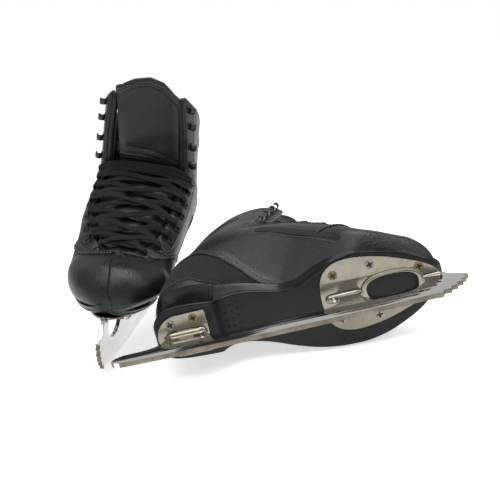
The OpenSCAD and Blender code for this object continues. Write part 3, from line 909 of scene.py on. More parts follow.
def build_runner(side):
    # Points x, z and corner radius, anticlockwise from the tail's end of the ground edge.
    ice = [(x, ice_z(x)) for x in np.arange(TAIL_X + 8, 235, 6.5)]
    picks = [(236, 1.4), (238.5, 2.0, 0.6), (241, 8, 1.2), (246.5, 7.4, 0.6), (247.5, 13, 1.2), (253, 13.4, 0.6),
             (252.8, 19, 1.2), (258.6, 20, 0.6), (257.4, 25, 1.2), (263, 27, 0.6), (261.2, 31, 1),
             (266, 33.8, 0.9), (263, 38.0, 3), (255, 43, 3), (250.5, 48, 3)]
    front_web = [(249.6, SOLE_PLATE_Z), (229.5, SOLE_PLATE_Z), (232, 44, 7), (229, 32, 9), (214, 25.2, 12),
                 (196, 24, 12)]
    rear_web = [(185, 26, 12), (176, 36, 9), (180.5, SOLE_PLATE_Z), (149, SOLE_PLATE_Z), (155, 47, 3),
                (159.8, 40, 5), (158, 31, 6), (147, 24, 9), (132, BAR_H, 8)]
    heel_web = [(62, BAR_H, 8), (50, 26, 7), (44, 34, 6), (43.5, HEEL_PLATE_Z), (8, HEEL_PLATE_Z), (10, 36, 5),
                (7, 27, 6), (-4, BAR_H, 7)]
    tail = [(TAIL_X + 7, BAR_H - 1, 4), (TAIL_X + 1.5, BAR_H - 5, 4), (TAIL_X, BAR_H - 11, 3), (TAIL_X + 3, 8, 3)]
    v, f = plate([rounded(ice + picks + front_web + rear_web + heel_web + tail)], RUNNER_T, 0.22)
    shape = Shape()
    shape.add(v[:, [0, 2, 1]], f)
    ob = make_object("runner_blade", shape, side, ["runner", "edge"], weld=2e-6)
    place = ob.data.attributes["loc"].data
    for poly in ob.data.polygons:
        x, y, z = np.mean([np.array(place[k].vector) for k in poly.vertices], 0)
        ground = z < ice_z(x) + 0.4 and x < 237
        end = (x < TAIL_X + 3 or (x > 236 and z < 34)) and abs(y) < RUNNER_T / 2 - 0.05
        if ground or end:
            poly.material_index = 1
    sharpen(ob, 28)
    hold(ob, side, "foot", "polished_steel", "runner")


def ridge(shape, x0, x1, r, z):
    """A half-round weld along the joint of web and plate, with rounded ends."""
    x = np.linspace(x0, x1, 25)
    f = (x - (x0 + x1) / 2) / ((x1 - x0) / 2)
    size = r * np.maximum(1 - np.abs(f) ** 7, 0.002) ** 0.5
    path = np.stack([x, 0 * x, 0 * x + z], 1)
    tube(shape, path, np.array([0, 0, 1.0]), circle_profile(1, 20)[None] * size[:, None, None])


def build_sole_plate(side):
    half = [(144.5, 4, 2), (146, 18, 8), (154, 28.5, 10), (168, 32, 12), (186, 30.5, 14), (204, 26.3, 14),
            (220, 20.5, 12), (234, 14.2, 9), (243, 8, 6), (246.5, 3, 3)]
    line = rounded(half + [(p[0], -p[1], p[2]) for p in half[::-1]])
    window = oval(205.5, 0, 22, 10.5, 56, 2.5)[::-1]
    shape = Shape()
    v, f = plate([line, window], PLATE_T, 0.45)
    v[:, 2] += SOLE_PLATE_Z + PLATE_T / 2
    shape.add(v, f)
    v, f = plate([oval(205.8, 0, 27, 14.2, 56, 2.3), oval(205.5, 0, 22.2, 10.7, 56, 2.5)[::-1]], 2.0, 0.6)
    v[:, 2] += SOLE_PLATE_Z - 0.6
    shape.add(v, f)
    ridge(shape, 147.5, 181, 4.2, SOLE_PLATE_Z - 0.2)
    ridge(shape, 229.5, 248.5, 3.6, SOLE_PLATE_Z - 0.2)
    ob = make_object("sole_mount", shape, side, ["plate"], weld=2e-6)
    sharpen(ob, 35)
    hold(ob, side, "foot", "plate_chrome", "sole_plate")


def build_heel_plate(side):
    r = 18.5
    arc = [(3 + r - r * math.cos(a), r * math.sin(a)) for a in np.linspace(-1.5, 1.5, 31)]
    line = rounded(arc + [(47, r, 2.5), (47, -r, 2.5)])
    shape = Shape()
    v, f = plate([line[::-1]], PLATE_T, 0.5)
    v[:, 2] += HEEL_PLATE_Z + PLATE_T / 2
    shape.add(v, f)
    ridge(shape, 9, 46, 5.4, HEEL_PLATE_Z + 0.4)
    ob = make_object("heel_mount", shape, side, ["plate"], weld=2e-6)
    sharpen(ob, 35)
    hold(ob, side, "foot", "plate_chrome", "heel_plate")


# x, distance from the middle, and whether the inner one of the pair is rusty.
SOLE_SCREWS = ((158, 20, 1), (190, 22.5, 0), (230, 11.5, 1))
HEEL_SCREWS = ((16, 11.3, 0), (36, 13.4, 1))


def build_screws(side):
    a, b = 0.7, 2.6
    cross = [(a, a), (b, a, 0.4), (b, -a, 0.4), (a, -a), (a, -b, 0.4), (-a, -b, 0.4), (-a, -a), (-b, -a, 0.4),
             (-b, a, 0.4), (-a, a), (-a, b, 0.4), (a, b, 0.4)]
    head, head_f = plate([oval(0, 0, 3.9, 3.9, 40), rounded(cross, 4)], 1.5, 0.5)
    # A disc of black fitting paint under each head floors its cross recess: painted shade in the recess.
    floor, recess_shade_faces = plate([oval(0, 0, 3.3, 3.3, 32)], 0.5, 0.1)
    for name, spots, z, node in (("sole_screw_set", SOLE_SCREWS, SOLE_PLATE_Z, "sole_screws"),
                                 ("heel_screw_set", HEEL_SCREWS, HEEL_PLATE_Z, "heel_screws")):
        shape = Shape()
        for k, (x, y, rusty) in enumerate(spots):
            for sign in (-1, 1):
                turn = 0.5 + 1.7 * k + 0.9 * sign
                c, s = math.cos(turn), math.sin(turn)
                spin = np.array([[c, -s, 0], [s, c, 0], [0, 0, 1]])
                mat = rusty if sign < 0 else 0
                shape.add(head @ spin.T + [x, sign * y, z - 0.55], head_f, mat)
                # Material 2, the black fitting paint, is painted shade at the bottom of the cross recess.
                shape.add(floor @ spin.T + [x, sign * y, z - 0.15], recess_shade_faces, 2)
        ob = make_object(name, shape, side, ["screw", "screw_rusty", "fitting"], weld=1e-6)
        sharpen(ob, 35)
        hold(ob, side, "foot", "screw_steel", node)


# ---------------------------------------------------------------- outsole and footbed


# The skin's underside as a grid of heights over x and y, and how high the sole rises to meet it.
UNDER_CELL = 0.5
UNDER_X0, UNDER_W0 = -20.0, -60.0
UNDER_SIZE = (600, 240)
NO_SKIN = 999.0
SEAT = 5.5
SEAT_FADE = 7
SEAT_DIP = -0.9
DOTS_X, DOT_STEP_X, DOT_STEP_Y, DOT_STAGGER, DOT_R = 62.5, 5.2, 6.4, 1.5, 1.15


def underside_map():
    """Lowest height of the skin in each cell of the grid."""
    s = np.arange(0, 18, 0.02)[:, None]
    t = np.linspace(0, 0.45, 260)[None, :]
    low = np.full(UNDER_SIZE, NO_SKIN)
    for side in (1, -1):
        q = skin(s, t, side).reshape(-1, 3)
        i = np.clip(((q[:, 0] - UNDER_X0) / UNDER_CELL).astype(int), 0, UNDER_SIZE[0] - 1)
        j = np.clip(((q[:, 1] - UNDER_W0) / UNDER_CELL).astype(int), 0, UNDER_SIZE[1] - 1)
        np.minimum.at(low, (i, j), q[:, 2])
    return low


UNDERSIDE = underside_map()


def seat_height(x, w, zt):
    """How far the sole's top rises above its rim zt at (x, w) to bed the upper's rounded underside."""
    a = np.clip((x - UNDER_X0) / UNDER_CELL - 0.5, 0, UNDER_SIZE[0] - 2.1)
    b = np.clip((w - UNDER_W0) / UNDER_CELL - 0.5, 0, UNDER_SIZE[1] - 2.1)
    i, j = a.astype(int), b.astype(int)
    rise = 0
    for da in (0, 1):
        for db in (0, 1):
            part = (1 - abs(a - i - da)) * (1 - abs(b - j - db))
            gap = UNDERSIDE[i + da, j + db] - zt
            bead = SEAT * np.clip(1 - (gap - SEAT) / SEAT_FADE, 0, 1)
            rise = rise + part * np.where(gap < SEAT, np.maximum(gap, SEAT_DIP), bead)
    return rise


def build_outsole(side):
    rows = spline_rows(SOLE, np.linspace(0, len(SOLE) - 1, 190))
    x, zb, zt, inner_b, inner_t, outer_b, outer_t = rows.T
    k = np.clip((zt - zb) / 9, 0.35, 1.0)
    lift = smooth((58 - x) / 8)

    def half(wb, wt, sign):
        """One side's points from the middle of the bottom, around the rim, to the middle of the top."""
        line = [
            (0 * wb, zb + 0.25), (wb * 0.45, zb + 0.12), (wb * 0.8, zb), (wb - 2.2, zb), (wb - 1.1, zb + 0.15),
            (wb - 0.35, zb + 0.6), (wb, zb + 1.3 * k), (wb + 0.2, zb + 2.4 * k + 0.4 * lift),
            (wb - 0.1 - 1.3 * lift, zb + 3.0 * k + 0.6 * lift), (wb - 1.6 * lift, zb + 3.4 * k + 1.0 * lift),
            (mix(wb, wt, 0.35) - 2.2 * lift, mix(zb, zt, 0.42)), (mix(wb, wt, 0.7) - 1.4 * lift, mix(zb, zt, 0.66)),
            (wt + 0.35, zt - 1.9 * k), (wt + 0.75, zt - 1.2 * k), (wt + 0.7, zt - 0.5 * k), (wt + 0.2, zt),
        ]
        for inward in (1.2, 2.2, 3.4, 4.8, 6.4, 8.2, 10.5, 13.5, 17.5):
            w_in = np.maximum(wt - inward, wt * (1 - inward / 19))
            line.append((w_in, zt + seat_height(x, sign * w_in, zt)))
        line.append((0 * wt, zt + seat_height(x, 0 * wt, zt)))
        w, z = np.array(line).transpose(1, 2, 0)
        return np.stack([np.broadcast_to(x[:, None], w.shape), sign * np.maximum(w, 0), z], -1)

    loop = np.concatenate([half(outer_b, outer_t, 1), half(inner_b, inner_t, -1)[:, -2:0:-1]], 1)
    n, m = loop.shape[:2]
    shape = Shape()
    mats = [int(3 < j < m - 3) for _ in range(n - 1) for j in range(m)] + [1, 1]
    shape.add(loop, sweep_faces(n, m), mats)
    # Small dots on the underside of the shank.
    for a in range(3):
        for b in range(-2, 3):
            px, py = DOTS_X + DOT_STEP_X * a, DOT_STEP_Y * b + DOT_STAGGER * (a % 2)
            pz = float(np.interp(px, x, zb)) + 0.05
            slope = float(np.interp(px + 1, x, zb) - np.interp(px - 1, x, zb)) / 2
            ring = oval(0, 0, DOT_R, DOT_R, 14)
            low = np.column_stack([px + ring[:, 0], py + ring[:, 1], pz + ring[:, 0] * slope])
            high = low + [0, 0, -0.55]
            mid = np.mean(high, 0)
            high = mid + (high - mid) * 0.6
            verts = np.concatenate([low + [0, 0, 0.5], high])
            cap = len(ring)
            q = bridge(range(cap), range(cap, 2 * cap))
            shape.add(verts, q + [tuple(range(cap))[::-1], tuple(range(cap, 2 * cap))], 0)
    ob = make_object("sole_unit", shape, side, ["sole", "sole_side"])
    sharpen(ob, 50)
    hold(ob, side, "foot", "outsole_black", "outsole")


def build_insole(side):
    s = np.linspace(1.6, 12.6, 60)[:, None]
    t = np.concatenate([np.linspace(0.15, 0.01, 9), np.linspace(0.01, 0.15, 9)])[None, :]
    signs = np.concatenate([-np.ones(9), np.ones(9)])[None, :] * np.ones_like(s)
    s, t = np.broadcast_arrays(s, t)
    p = (skin(s, t, signs) + [0, 0, 6.6]) * [1, 0.86, 1]
    nrm = np.broadcast_to([0, 0, 1.0], p.shape).copy()
    shape = Shape()
    sheet(shape, p, nrm, 1.6, p)
    ob = make_object("footbed", shape, side, ["lining"])
    hold(ob, side, "foot", "footbed_fabric", "insole")


# ---------------------------------------------------------------- linings and collar


def build_lining(side):
    shape = Shape()
    for sign in (1, -1):
        s, t = upper_grid(sign, 110, 48)[:2]
        keep = s[:, 0] > 1.2
        s, t = s[keep], np.minimum(t[keep], 0.985)
        t = np.where(s < 7.4, np.minimum(t, 0.97), t)
        p = layer(s, t, sign, -2.75 + 0.25 * np.sin(3 * s) * np.sin(9 * t))
        sheet(shape, p, skin_normal(s, t, sign), 2.0, p)
    down = np.linspace(15.2, 20.1, 40)
    corner = np.linspace(0.765, 0.012, 90)
    path_t = np.concatenate([facing_t(down) + 0.002, corner, corner[::-1], facing_t(down[::-1]) + 0.002])
    s = np.concatenate([down, rim_s(corner) - 0.02, rim_s(corner[::-1]) - 0.02, down[::-1]])
    signs = np.concatenate([-np.ones(130), np.ones(130)])
    front_part = smooth((path_t - 0.7) / 0.06)
    line = layer(s, path_t, signs, mix(-3.1, -5.0, front_part))
    line = resample(np.column_stack([line, s, path_t, signs]), 1.6)
    path_s, path_t, signs = line[:, 3], line[:, 4], np.sign(line[:, 5])
    up = skin_normal(path_s, path_t, signs)
    size = mix(2.6, 4.1, smooth((path_t - 0.7) / 0.06))
    tube(shape, line[:, :3], up, circle_profile(1, 14, 0.85)[None] * size[:, None, None], mat=1)
    ob = make_object("inner_lining", shape, side, ["lining", "binding"])
    hold(ob, side, "ankle", "lining_fabric", "lining", "collar_lining")


# ---------------------------------------------------------------- overlays on the leather

# Paths over the skin, as s and t.
PANEL_EDGE = ((17.1, 0.004), (16.9, 0.12), (16.3, 0.24), (15.3, 0.36), (13.9, 0.41), (12.7, 0.38),
              (12.04, 0.335), (11.37, 0.275), (10.79, 0.19), (10.21, 0.115), (9.8, 0.075))
COUNTER_EDGE = ((15.0, 0.004), (14.6, 0.08), (13.9, 0.16), (13.12, 0.215), (12.45, 0.18), (11.95, 0.152),
                (11.21, 0.1), (10.63, 0.075), (10.13, 0.065))
STRIP = ((12.1, 0.566), (11.2, 0.56), (10.25, 0.527), (9.4, 0.495), (8.7, 0.462), (8.15, 0.42), (7.7, 0.375))
STRIP_HALF = 3.4
QUARTER_EDGE = {
    1: ((6.1, 0.972), (5.95, 0.93), (6.0, 0.86), (6.5, 0.775), (7.4, 0.69), (8.3, 0.6), (9.0, 0.48)),
    -1: ((6.35, 0.972), (6.35, 0.93), (6.6, 0.855), (7.15, 0.765), (7.75, 0.67), (8.3, 0.58), (8.8, 0.47)),
}
INSET = ((18.7, 0.40), (19.15, 0.45), (19.1, 0.51), (18.7, 0.56))


def build_heel_panel(side):
    shape = Shape()
    thread = Shape()
    for sign in (1, -1):
        top = skin_path(PANEL_EDGE, sign, 3.0)
        low = skin_path(COUNTER_EDGE, sign, 3.0)
        n = 46
        pick = np.linspace(0, 1, n)
        a = [np.interp(pick, np.linspace(0, 1, len(top[0])), q) for q in top]
        b = [np.interp(pick, np.linspace(0, 1, len(low[0])), q) for q in low]
        f = np.linspace(0, 1, 16)[None, :]
        rs = mix(b[0][:, None], a[0][:, None], f)
        rt = mix(b[1][:, None], a[1][:, None], f)
        patch(shape, rs, rt, sign, 0.75, 0.9, 0)
        sole_s = np.interp(pick, [0, 0.25, 1], [13.4, 12.6, 9.4])
        sole_t = np.interp(pick, [0, 0.25, 0.6, 1], [0.004, 0.05, 0.04, 0.035])
        rs = mix(sole_s[:, None], b[0][:, None], f)
        rt = mix(sole_t[:, None], b[1][:, None], f)
        patch(shape, rs, rt, sign, 1.35, 1.5, 1)
        wedge(shape, top, sign, -9.0 if sign > 0 else 9.0, 1.75, 2)
        turn = -1 if sign > 0 else 1
        for off in (1.6, 4.4):
            stitches(thread, offset_path(top, sign, turn * off), sign, 1.75 - 0.15 * off)
        stitches(thread, offset_path(low, sign, turn * 2.0), sign, 1.0)
    shape.join(thread, 3)
    ob = make_object("heel_overlay", shape, side, ["mesh", "counter", "upper", "thread"])
    sharpen(ob, 50)
    hold(ob, side, "ankle", "mesh_fabric", "heel_panel")


def band_patch(shape, knots, sign, half, lift):
    """A narrow strip along a path on the skin, with tapered round ends."""
    path = skin_path(knots, sign)
    q = np.linspace(-1, 1, len(path[0]))
    wide = half * np.maximum(1 - np.abs(q) ** 10, 0.02) ** 0.5
    cols = np.array([offset_path(path, sign, wide * f) for f in np.linspace(-1, 1, 7)])
    patch(shape, cols[:, 0].T, cols[:, 1].T, sign, lift, 0.9, 0)
    return path


def build_side_trim(side):
    shape = Shape()
    thread = Shape()
    for sign in (1, -1):
        path = band_patch(shape, STRIP, sign, STRIP_HALF, 0.55)
        for w in (-STRIP_HALF - 2.2, STRIP_HALF + 1.6):
            stitches(thread, offset_path(path, sign, w), sign, 0.1, pitch=3.2, length=2.2)
        band_patch(shape, INSET, sign, 4.6, 0.5)
        edge = skin_path(QUARTER_EDGE[sign], sign, 3.0)
        wedge(shape, edge, sign, 8.0 * sign, 1.2, 1)
        for off in (1.7, 4.6):
            stitches(thread, offset_path(edge, sign, off * sign), sign, 1.25 - 0.1 * off)
    shape.join(thread, 2)
    ob = make_object("side_trim", shape, side, ["mesh", "upper", "thread"])
    sharpen(ob, 50)
    hold(ob, side, "ankle", "mesh_fabric")


def eyelet_t(s, side):
    return facing_t(s) - (0.06 if side > 0 else 0.085)


def build_facing(side):
    """The raised leather strip that carries the eyelets, puckered between the laces."""
    for half, sign in (("lateral", 1), ("medial", -1)):
        s = np.linspace(THROAT + 0.12, 20.45, 200)[:, None]
        f = np.linspace(0, 1, 16)[None, :]
        edge = facing_t(s)
        s, f = np.broadcast_arrays(s, f)
        t = edge - 0.001 - f * mix(0.145, 0.10, smooth((s - 14) / 2))
        pull = np.zeros_like(s)
        for r in ROWS:
            pull = np.maximum(pull, np.exp(-(((s - r) / 0.26) ** 2)))
        pucker = (1.5 * (1 - pull) - 0.25) * smooth((14.1 - s) / 0.5) * np.exp(-(((f - 0.18) / 0.35) ** 2))
        edge_fall = 0.5 * smooth(f / 0.12) + 0.5
        lift = (1.0 + pucker) * edge_fall * mix(0.35, 1, smooth((1 - f) / 0.12))
        shape = Shape()
        p = layer(s, t, sign, lift)
        uv = np.stack([s * 12, f * 12, 0 * s], -1)
        sheet(shape, p, skin_normal(s, t, sign), 1.5, uv, 0, 2)
        thread = Shape()
        line_s = np.linspace(THROAT + 0.5, 20.2, 260)
        stitches(thread, (line_s, facing_t(line_s) - 0.012), sign, 1.3)
        width = mix(0.145, 0.10, smooth((line_s - 14) / 2))
        stitches(thread, (line_s, facing_t(line_s) - width + 0.014), sign, 1.15)
        shape.join(thread, 1)
        ob = make_object("lace_strip_" + half, shape, side, ["facing", "thread"])
        hold(ob, side, "ankle", "facing_leather", "facing_" + half)


# ---------------------------------------------------------------- tongue

# Top edge of the tongue: distances around from the front ridge and the ring numbers there.
TONGUE_W = np.array([-64, -52, -44, -40, -30, -18, -5, 10, 24, 36, 41, 50, 62], float)
TONGUE_TOP = np.array([19.8, 20.15, 20.2, 20.25, 20.45, 20.95, 21.13, 20.97, 20.66, 20.68, 20.62, 20.5, 20.2])
# Half the space between the cuff's sides, and how far before it the tongue starts to give way.
TONGUE_HALF = 37.6
TONGUE_GIVE = 4


def tongue_depth(s, w):
    """How the padded tongue sits: crowned in the middle, tucked behind the leather at its sides."""
    edge = np.interp(s, [13.8, 15.3, 17, 19.2, 21], [25, 25.3, 26.1, 30.6, 35.6])
    sit = -0.9 - 3.0 * smooth((-w - 26) / 20) - 4.0 * smooth((-w - 38) / 8) - 2.2 * smooth((w - edge + 12) / 12) ** 2
    sit = sit - 8.0 * smooth((w - edge) / 4.5) - 3.0 * smooth((np.abs(w) - 48) / 10)
    swell = np.exp(-(((s - 15.7) / 0.5) ** 2)) * np.exp(-((w / 25) ** 2))
    sit = sit - 1.5 * np.exp(-(((s - 14.9) / 0.55) ** 2)) + 0.4 * swell
    creases = ((15.1, 0.12, 0.6), (15.42, 0.1, 0.5), (15.8, 0.1, 0.35), (16.4, 0.14, 0.3))
    for k, (c, wide, deep) in enumerate(creases):
        sit = sit - deep * np.exp(-(((s - c - 0.004 * w * (1 + k) - 0.1 * np.sin(w * 0.13 + k)) / wide) ** 2))
    return sit + 0.35 * np.sin(w * 0.09 + s * 1.3) * np.sin(s * 2.1)


def tongue_points(s, w, d):
    """Tongue surface, kept clear of the cuff's inside at both sides."""
    p = front(s, w, d)
    y = np.abs(p[..., 1])
    near = TONGUE_HALF - TONGUE_GIVE * np.exp(-(y - TONGUE_HALF + TONGUE_GIVE) / TONGUE_GIVE)
    p[..., 1] = np.sign(p[..., 1]) * np.where(y < TONGUE_HALF - TONGUE_GIVE, y, near)
    return p


def build_tongue(side):
    shape = Shape()
    a = np.linspace(0, 1, 130)[:, None]
    w = np.concatenate([np.linspace(-64, 22, 70), np.linspace(23, 62, 56)])[None, :]
    top = np.interp(w, TONGUE_W, TONGUE_TOP)
    s = mix(13.9, top, a)
    w = w * mix(0.8, 1.0, smooth((s - 14) / 2.5))
    p = tongue_points(s, w, tongue_depth(s, w))
    sheet(shape, p, front_normal(s, w), 3.2, np.stack([s * 18, w, 0 * s], -1), 0, 3)
    ob = make_object("tongue_pad", shape, side, ["tongue"])
    hold(ob, side, "tongue", "tongue_leather", "tongue")
    rim = Shape()
    cols = np.linspace(-42, 35.5, 150)
    top = np.interp(cols, TONGUE_W, TONGUE_TOP)
    f = np.linspace(0, 1, 8)[:, None]
    s = top[None, :] + 0.04 - 0.36 * f
    wide = np.broadcast_to(cols, s.shape)
    d = tongue_depth(s, wide) + 0.6 * np.sin(np.pi * (0.12 + 0.76 * f)) + 0.15
    uv = np.stack([wide, s * 18, 0 * s], -1)
    sheet(rim, tongue_points(s, wide, d), front_normal(s, wide), 4.6, uv, 0, 4)
    for off in (0.1, 0.27):
        line_s = top + 0.04 - off
        coords = (line_s, cols, tongue_depth(line_s, cols) + 0.8)
        sew(rim, coords, tongue_points, front_normal, 2.8, 1.9, 0.36, 1)
    ob = make_object("tongue_binding", rim, side, ["binding", "thread"])
    hold(ob, side, "tongue", "binding_leather", "tongue_edge")


def build_tongue_base(side):
    s = np.linspace(THROAT + 0.1, 14.3, 90)[:, None]
    edge = np.array([arc_at(float(q), float(facing_t(q)), 1) for q in s[:, 0]])[:, None]
    f = np.linspace(-1, 1, 56)[None, :]
    w = f * (edge + 5.5)
    s = np.broadcast_to(s, w.shape)
    inside = np.abs(w) - edge
    d = -1.4 - 4.4 * smooth((inside + 6) / 8) + 0.5 * np.sin(s * 5.3 + w * 0.12) * np.sin(w * 0.21)
    d = d - 0.5 * np.exp(-((w / 1.2) ** 2)) * smooth((8.4 - s) / 1)
    shape = Shape()
    sheet(shape, front(s, w, d), front_normal(s, w), 2.6, np.stack([s * 14, w, 0 * s], -1), 0, 2)
    ob = make_object("tongue_foot", shape, side, ["tongue"])
    hold(ob, side, "foot", "tongue_leather", "tongue_base")


# ---------------------------------------------------------------- laces, eyelets and hooks

LACE_W = 5.8
LACE_T = 1.25


def ribbon(shape, s, w, lift, roll):
    """A flat lace along a path over the instep; roll tips it about its own length."""
    p = front(s, w, lift)
    up = front_normal(s, w)
    tan = unit(np.gradient(p, axis=0))
    across = unit(np.cross(up, tan))
    up = unit(up * np.cos(roll)[:, None] + across * np.sin(roll)[:, None])
    a = np.linspace(0, 2 * math.pi, 14, endpoint=False)
    c, sn = np.cos(a), np.sin(a)
    prof = np.stack([
        LACE_W / 2 * np.sign(c) * np.abs(c) ** 0.45,
        LACE_T / 2 * np.sign(sn) * np.abs(sn) ** 0.7,
    ], 1)
    end = np.minimum(np.arange(len(s)), np.arange(len(s))[::-1]) / (len(s) - 1)
    pinch = 0.5 + 0.5 * smooth(end / 0.07)
    tube(shape, p, up, prof[None] * np.stack([pinch, 0 * pinch + 1], 1)[:, None])


def build_laces(side):
    rng = np.random.default_rng(11 if side == "left" else 23)
    shape = Shape()
    f = np.linspace(0, 1, 64)
    hole = {(k, r): arc_at(r, float(eyelet_t(r, k)), k) for k in (1, -1) for r in ROWS}

    def strand(s_out, s_in, start, layer_no):
        """From the eyelet at s_out on side start, over the strip's edge and across to the other side."""
        w0 = hole[(start, s_out)] * start
        w1 = -hole[(-start, s_in)] * start
        w = mix(w0, w1, f)
        s = mix(s_out, s_in, f) + 0.16 * np.sin(np.pi * f)
        droop = rng.uniform(0.1, 0.24)
        for end, sign in ((f, start), (1 - f, -start)):
            s = s + (droop if sign > 0 else 0.30) * smooth(end / 0.24) * (1 if sign < 0 else 0.6)
        s = s + rng.uniform(-0.12, 0.12) * np.sin(2 * np.pi * f + rng.uniform(0, 6))
        s = s + rng.uniform(-0.05, 0.05) * np.sin(5 * np.pi * f + rng.uniform(0, 6))
        edge = np.minimum(f, 1 - f)
        hump = 2.6 * np.exp(-(((edge - 0.055) / 0.04) ** 2))
        dive = -4.6 * np.exp(-((edge / 0.028) ** 2))
        lift = 2.9 + layer_no * 1.25 * smooth(edge / 0.2) + hump + dive
        lift = lift + rng.uniform(0.2, 0.8) * np.sin(3 * np.pi * f)
        roll = rng.uniform(-0.28, 0.28) * np.sin(np.pi * f) + rng.uniform(-0.3, 0.3) * np.sin(3 * np.pi * f)
        ribbon(shape, s, w, lift, roll)

    strand(ROWS[0], ROWS[0], 1, 0)
    for i in range(len(ROWS) - 1):
        order = (0.2, 1.6) if i % 2 else (1.6, 0.2)
        strand(ROWS[i], ROWS[i + 1], 1, order[0])
        strand(ROWS[i], ROWS[i + 1], -1, order[1])
    top = ROWS[-1]
    strand(top, top, 1, 1.2)
    for k, (rise, sag, high) in enumerate(((0.55, -0.25, 3.2), (0.85, 0.05, 4.4))):
        w = mix(hole[(1, top)] + 2 - 3 * k, -hole[(-1, top)] - 1 + 5 * k, f)
        s = top + rise - 0.5 * rise * (1 - smooth(np.minimum(f, 1 - f) / 0.15)) + sag * np.sin(np.pi * f)
        lift = high + 0.8 * np.sin(3 * np.pi * f + k) - 3.5 * np.exp(-((np.minimum(f, 1 - f) / 0.03) ** 2))
        ribbon(shape, s, w, lift, 0.25 * np.sin(2 * np.pi * f + k))
    if side == "left":
        turn = np.linspace(0, 1, 44)
        for w0, w1, rise, high in ((-46, -30, 0.9, 11.0), (-34, -12, 0.5, 8.0)):
            s = top + 0.35 + rise * turn + 0.25 * np.sin(2 * np.pi * turn)
            lift = 3.2 + high * np.sin(np.pi * turn) ** 0.8
            ribbon(shape, s, mix(w0, w1, turn), lift, 0.9 * np.sin(np.pi * turn))
    ob = make_object("lace_pair", shape, side, ["lace"])
    sharpen(ob, 60)
    hold(ob, side, "ankle", "lace_fabric", "laces")


def disc(shape, centre, normal, along, profile):
    """Revolves the closed profile (radius, height) about a normal."""
    n, m = 22, len(profile)
    a = np.linspace(0, 2 * math.pi, n, endpoint=False)
    ring = np.cos(a)[:, None] * along + np.sin(a)[:, None] * unit(np.cross(normal, along))
    v = np.array([centre + r * ring + h * normal for r, h in profile])
    last = (m - 1) * n
    faces = grid_faces(m, n, wrap=True) + [(last + j, last + (j + 1) % n, (j + 1) % n, j) for j in range(n)]
    shape.add(v, faces)


def build_eyelets(side):
    shape = Shape()
    ring = [(1.9, 0.0), (1.95, 0.5), (2.3, 0.85), (2.8, 0.95), (3.3, 0.75), (3.6, 0.3), (3.6, -0.5), (1.9, -0.5)]
    for sign in (1, -1):
        for r in ROWS:
            t = float(eyelet_t(r, sign))
            n = skin_normal(np.array(r), np.array(t), sign)
            at = layer(np.array(r), np.array(t), sign, 1.15)
            along = unit(skin(r + 0.1, t, sign) - skin(r - 0.1, t, sign))
            disc(shape, at, n, unit(along - n * np.dot(along, n)), ring)
    ob = make_object("eyelet_set", shape, side, ["fitting"])
    sharpen(ob, 45)
    hold(ob, side, "ankle", "fitting_black", "eyelets")


def build_hooks(side):
    shape = Shape()
    base = [(0.01, 1.0), (2.8, 1.0), (3.7, 0.85), (4.1, 0.4), (4.1, -0.4), (0.01, -0.4)]
    for sign in (1, -1):
        for r in HOOKS:
            t = float(facing_t(r)) - 0.05
            n = skin_normal(np.array(r), np.array(t), sign)
            at = layer(np.array(r), np.array(t), sign, 0.9)
            up = unit(skin(r + 0.1, t, sign) - skin(r - 0.1, t, sign))
            up = unit(up - n * np.dot(up, n))
            back = unit(np.cross(n, up)) * (1 if sign > 0 else -1)
            if np.dot(back, skin(r, t - 0.02, sign) - at) < 0:
                back = -back
            disc(shape, at, n, up, base)
            a = np.linspace(-1.5, 2.5, 26)
            out = 3.6 + 2.9 * np.sin(a)
            path = at + np.outer(out, n) + np.outer(2.9 * np.cos(a) - 0.6, -back)
            normals = unit(np.outer(np.cos(a), -back) + np.outer(np.sin(a), n))
            half = 3.1 - 0.5 * smooth((a - 1.2) / 1.2)
            strap = np.array([(-1, -0.45), (-0.88, -0.65), (0.88, -0.65), (1, -0.45),
                              (1, 0.45), (0.88, 0.65), (-0.88, 0.65), (-1, 0.45)])
            strap = strap[None] * np.stack([half, 0 * half + 1], 1)[:, None]
            tube(shape, path, normals, strap)
    ob = make_object("hook_set", shape, side, ["fitting"])
    sharpen(ob, 40)
    hold(ob, side, "cuff", "fitting_black", "hooks")


BUILDERS = (
    build_upper, build_lining, build_heel_panel, build_side_trim, build_facing, build_tongue_base, build_tongue,
    build_laces, build_eyelets, build_hooks, build_insole, build_outsole, build_sole_plate, build_heel_plate,
    build_screws, build_runner,
)
for side in SIDES:
    for build in BUILDERS:
        build(side)


# ---------------------------------------------------------------- stage

CAMERA_AT = (0.0023, -0.895, 0.2365)
CAMERA_FORWARD = (0.0, 0.98398, -0.17829)
CAMERA_UP = (0.19002, 0.17504, 0.96605)
FOCAL_WIDTHS = 915.0 / 500.0
SKY = 0.5
LIGHTS = (
    ("key", (-0.5, -0.9, 2.0), 1.3, 14),
    ("top", (0.35, 0.1, 1.7), 1.0, 15),
    ("fill", (1.4, -0.5, 1.4), 1.0, 6),
)
LIT_POINT = (0, 0, 0.08)
FLOOR_HALF = 60.0


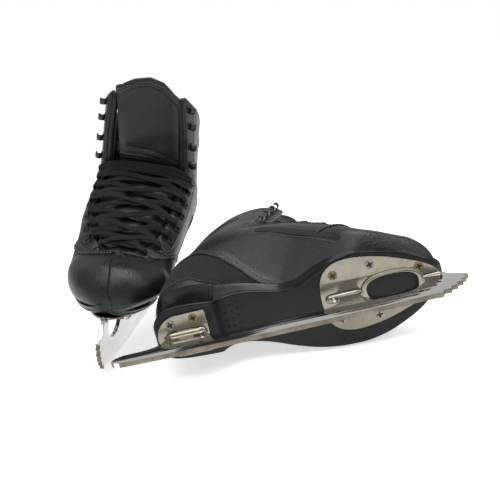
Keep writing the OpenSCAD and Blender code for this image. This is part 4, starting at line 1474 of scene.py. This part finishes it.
def build_floor():
    a = FLOOR_HALF
    mesh = bpy.data.meshes.new("floor")
    mesh.from_pydata([(-a, -a, 0), (a, -a, 0), (a, a, 0), (-a, a, 0)], [], [(0, 1, 2, 3)])
    floor = bpy.data.objects.new("floor", mesh)
    bpy.context.scene.collection.objects.link(floor)
    m = Mat("floor_white", (0.86, 0.86, 0.86), 0.7)
    m.roughness(m.ramp(m.noise(0.4, 2.0), 0, 1, 0.65, 0.75))
    m.set(Emission_Color=(1, 1, 1, 1), Emission_Strength=0.62)
    mesh.materials.append(m.mat)


def build_light():
    """White behind everything, a dimmer white sky on the pieces, and three soft lamps."""
    world = bpy.data.worlds.new("studio")
    bpy.context.scene.world = world
    world.use_nodes = True
    tree = world.node_tree
    sky = tree.nodes["Background"]
    sky.inputs[0].default_value = (1, 1, 1, 1)
    seen = tree.nodes.new("ShaderNodeLightPath")
    bright = tree.nodes.new("ShaderNodeMapRange")
    bright.inputs["To Min"].default_value = SKY
    bright.inputs["To Max"].default_value = 1.0
    tree.links.new(seen.outputs["Is Camera Ray"], bright.inputs["Value"])
    tree.links.new(bright.outputs[0], sky.inputs[1])
    for name, at, size, power in LIGHTS:
        light = bpy.data.lights.new(name, "AREA")
        light.size = size
        light.energy = power
        ob = bpy.data.objects.new(name, light)
        ob.location = at
        ob.rotation_euler = (Vector(LIT_POINT) - Vector(at)).to_track_quat("-Z", "Y").to_euler()
        bpy.context.scene.collection.objects.link(ob)


def build_camera():
    forward = Vector(CAMERA_FORWARD).normalized()
    right = forward.cross(Vector(CAMERA_UP)).normalized()
    up = right.cross(forward)
    cam = bpy.data.cameras.new("camera")
    cam.sensor_width = 36
    cam.lens = 36 * FOCAL_WIDTHS
    cam.clip_end = 100
    ob = bpy.data.objects.new("camera", cam)
    rot = Matrix((right, up, -forward)).transposed().to_4x4()
    ob.matrix_world = Matrix.Translation(CAMERA_AT) @ rot
    bpy.context.scene.collection.objects.link(ob)
    bpy.context.scene.camera = ob
    bpy.context.scene.view_settings.view_transform = "Standard"


build_floor()
build_light()
build_camera()
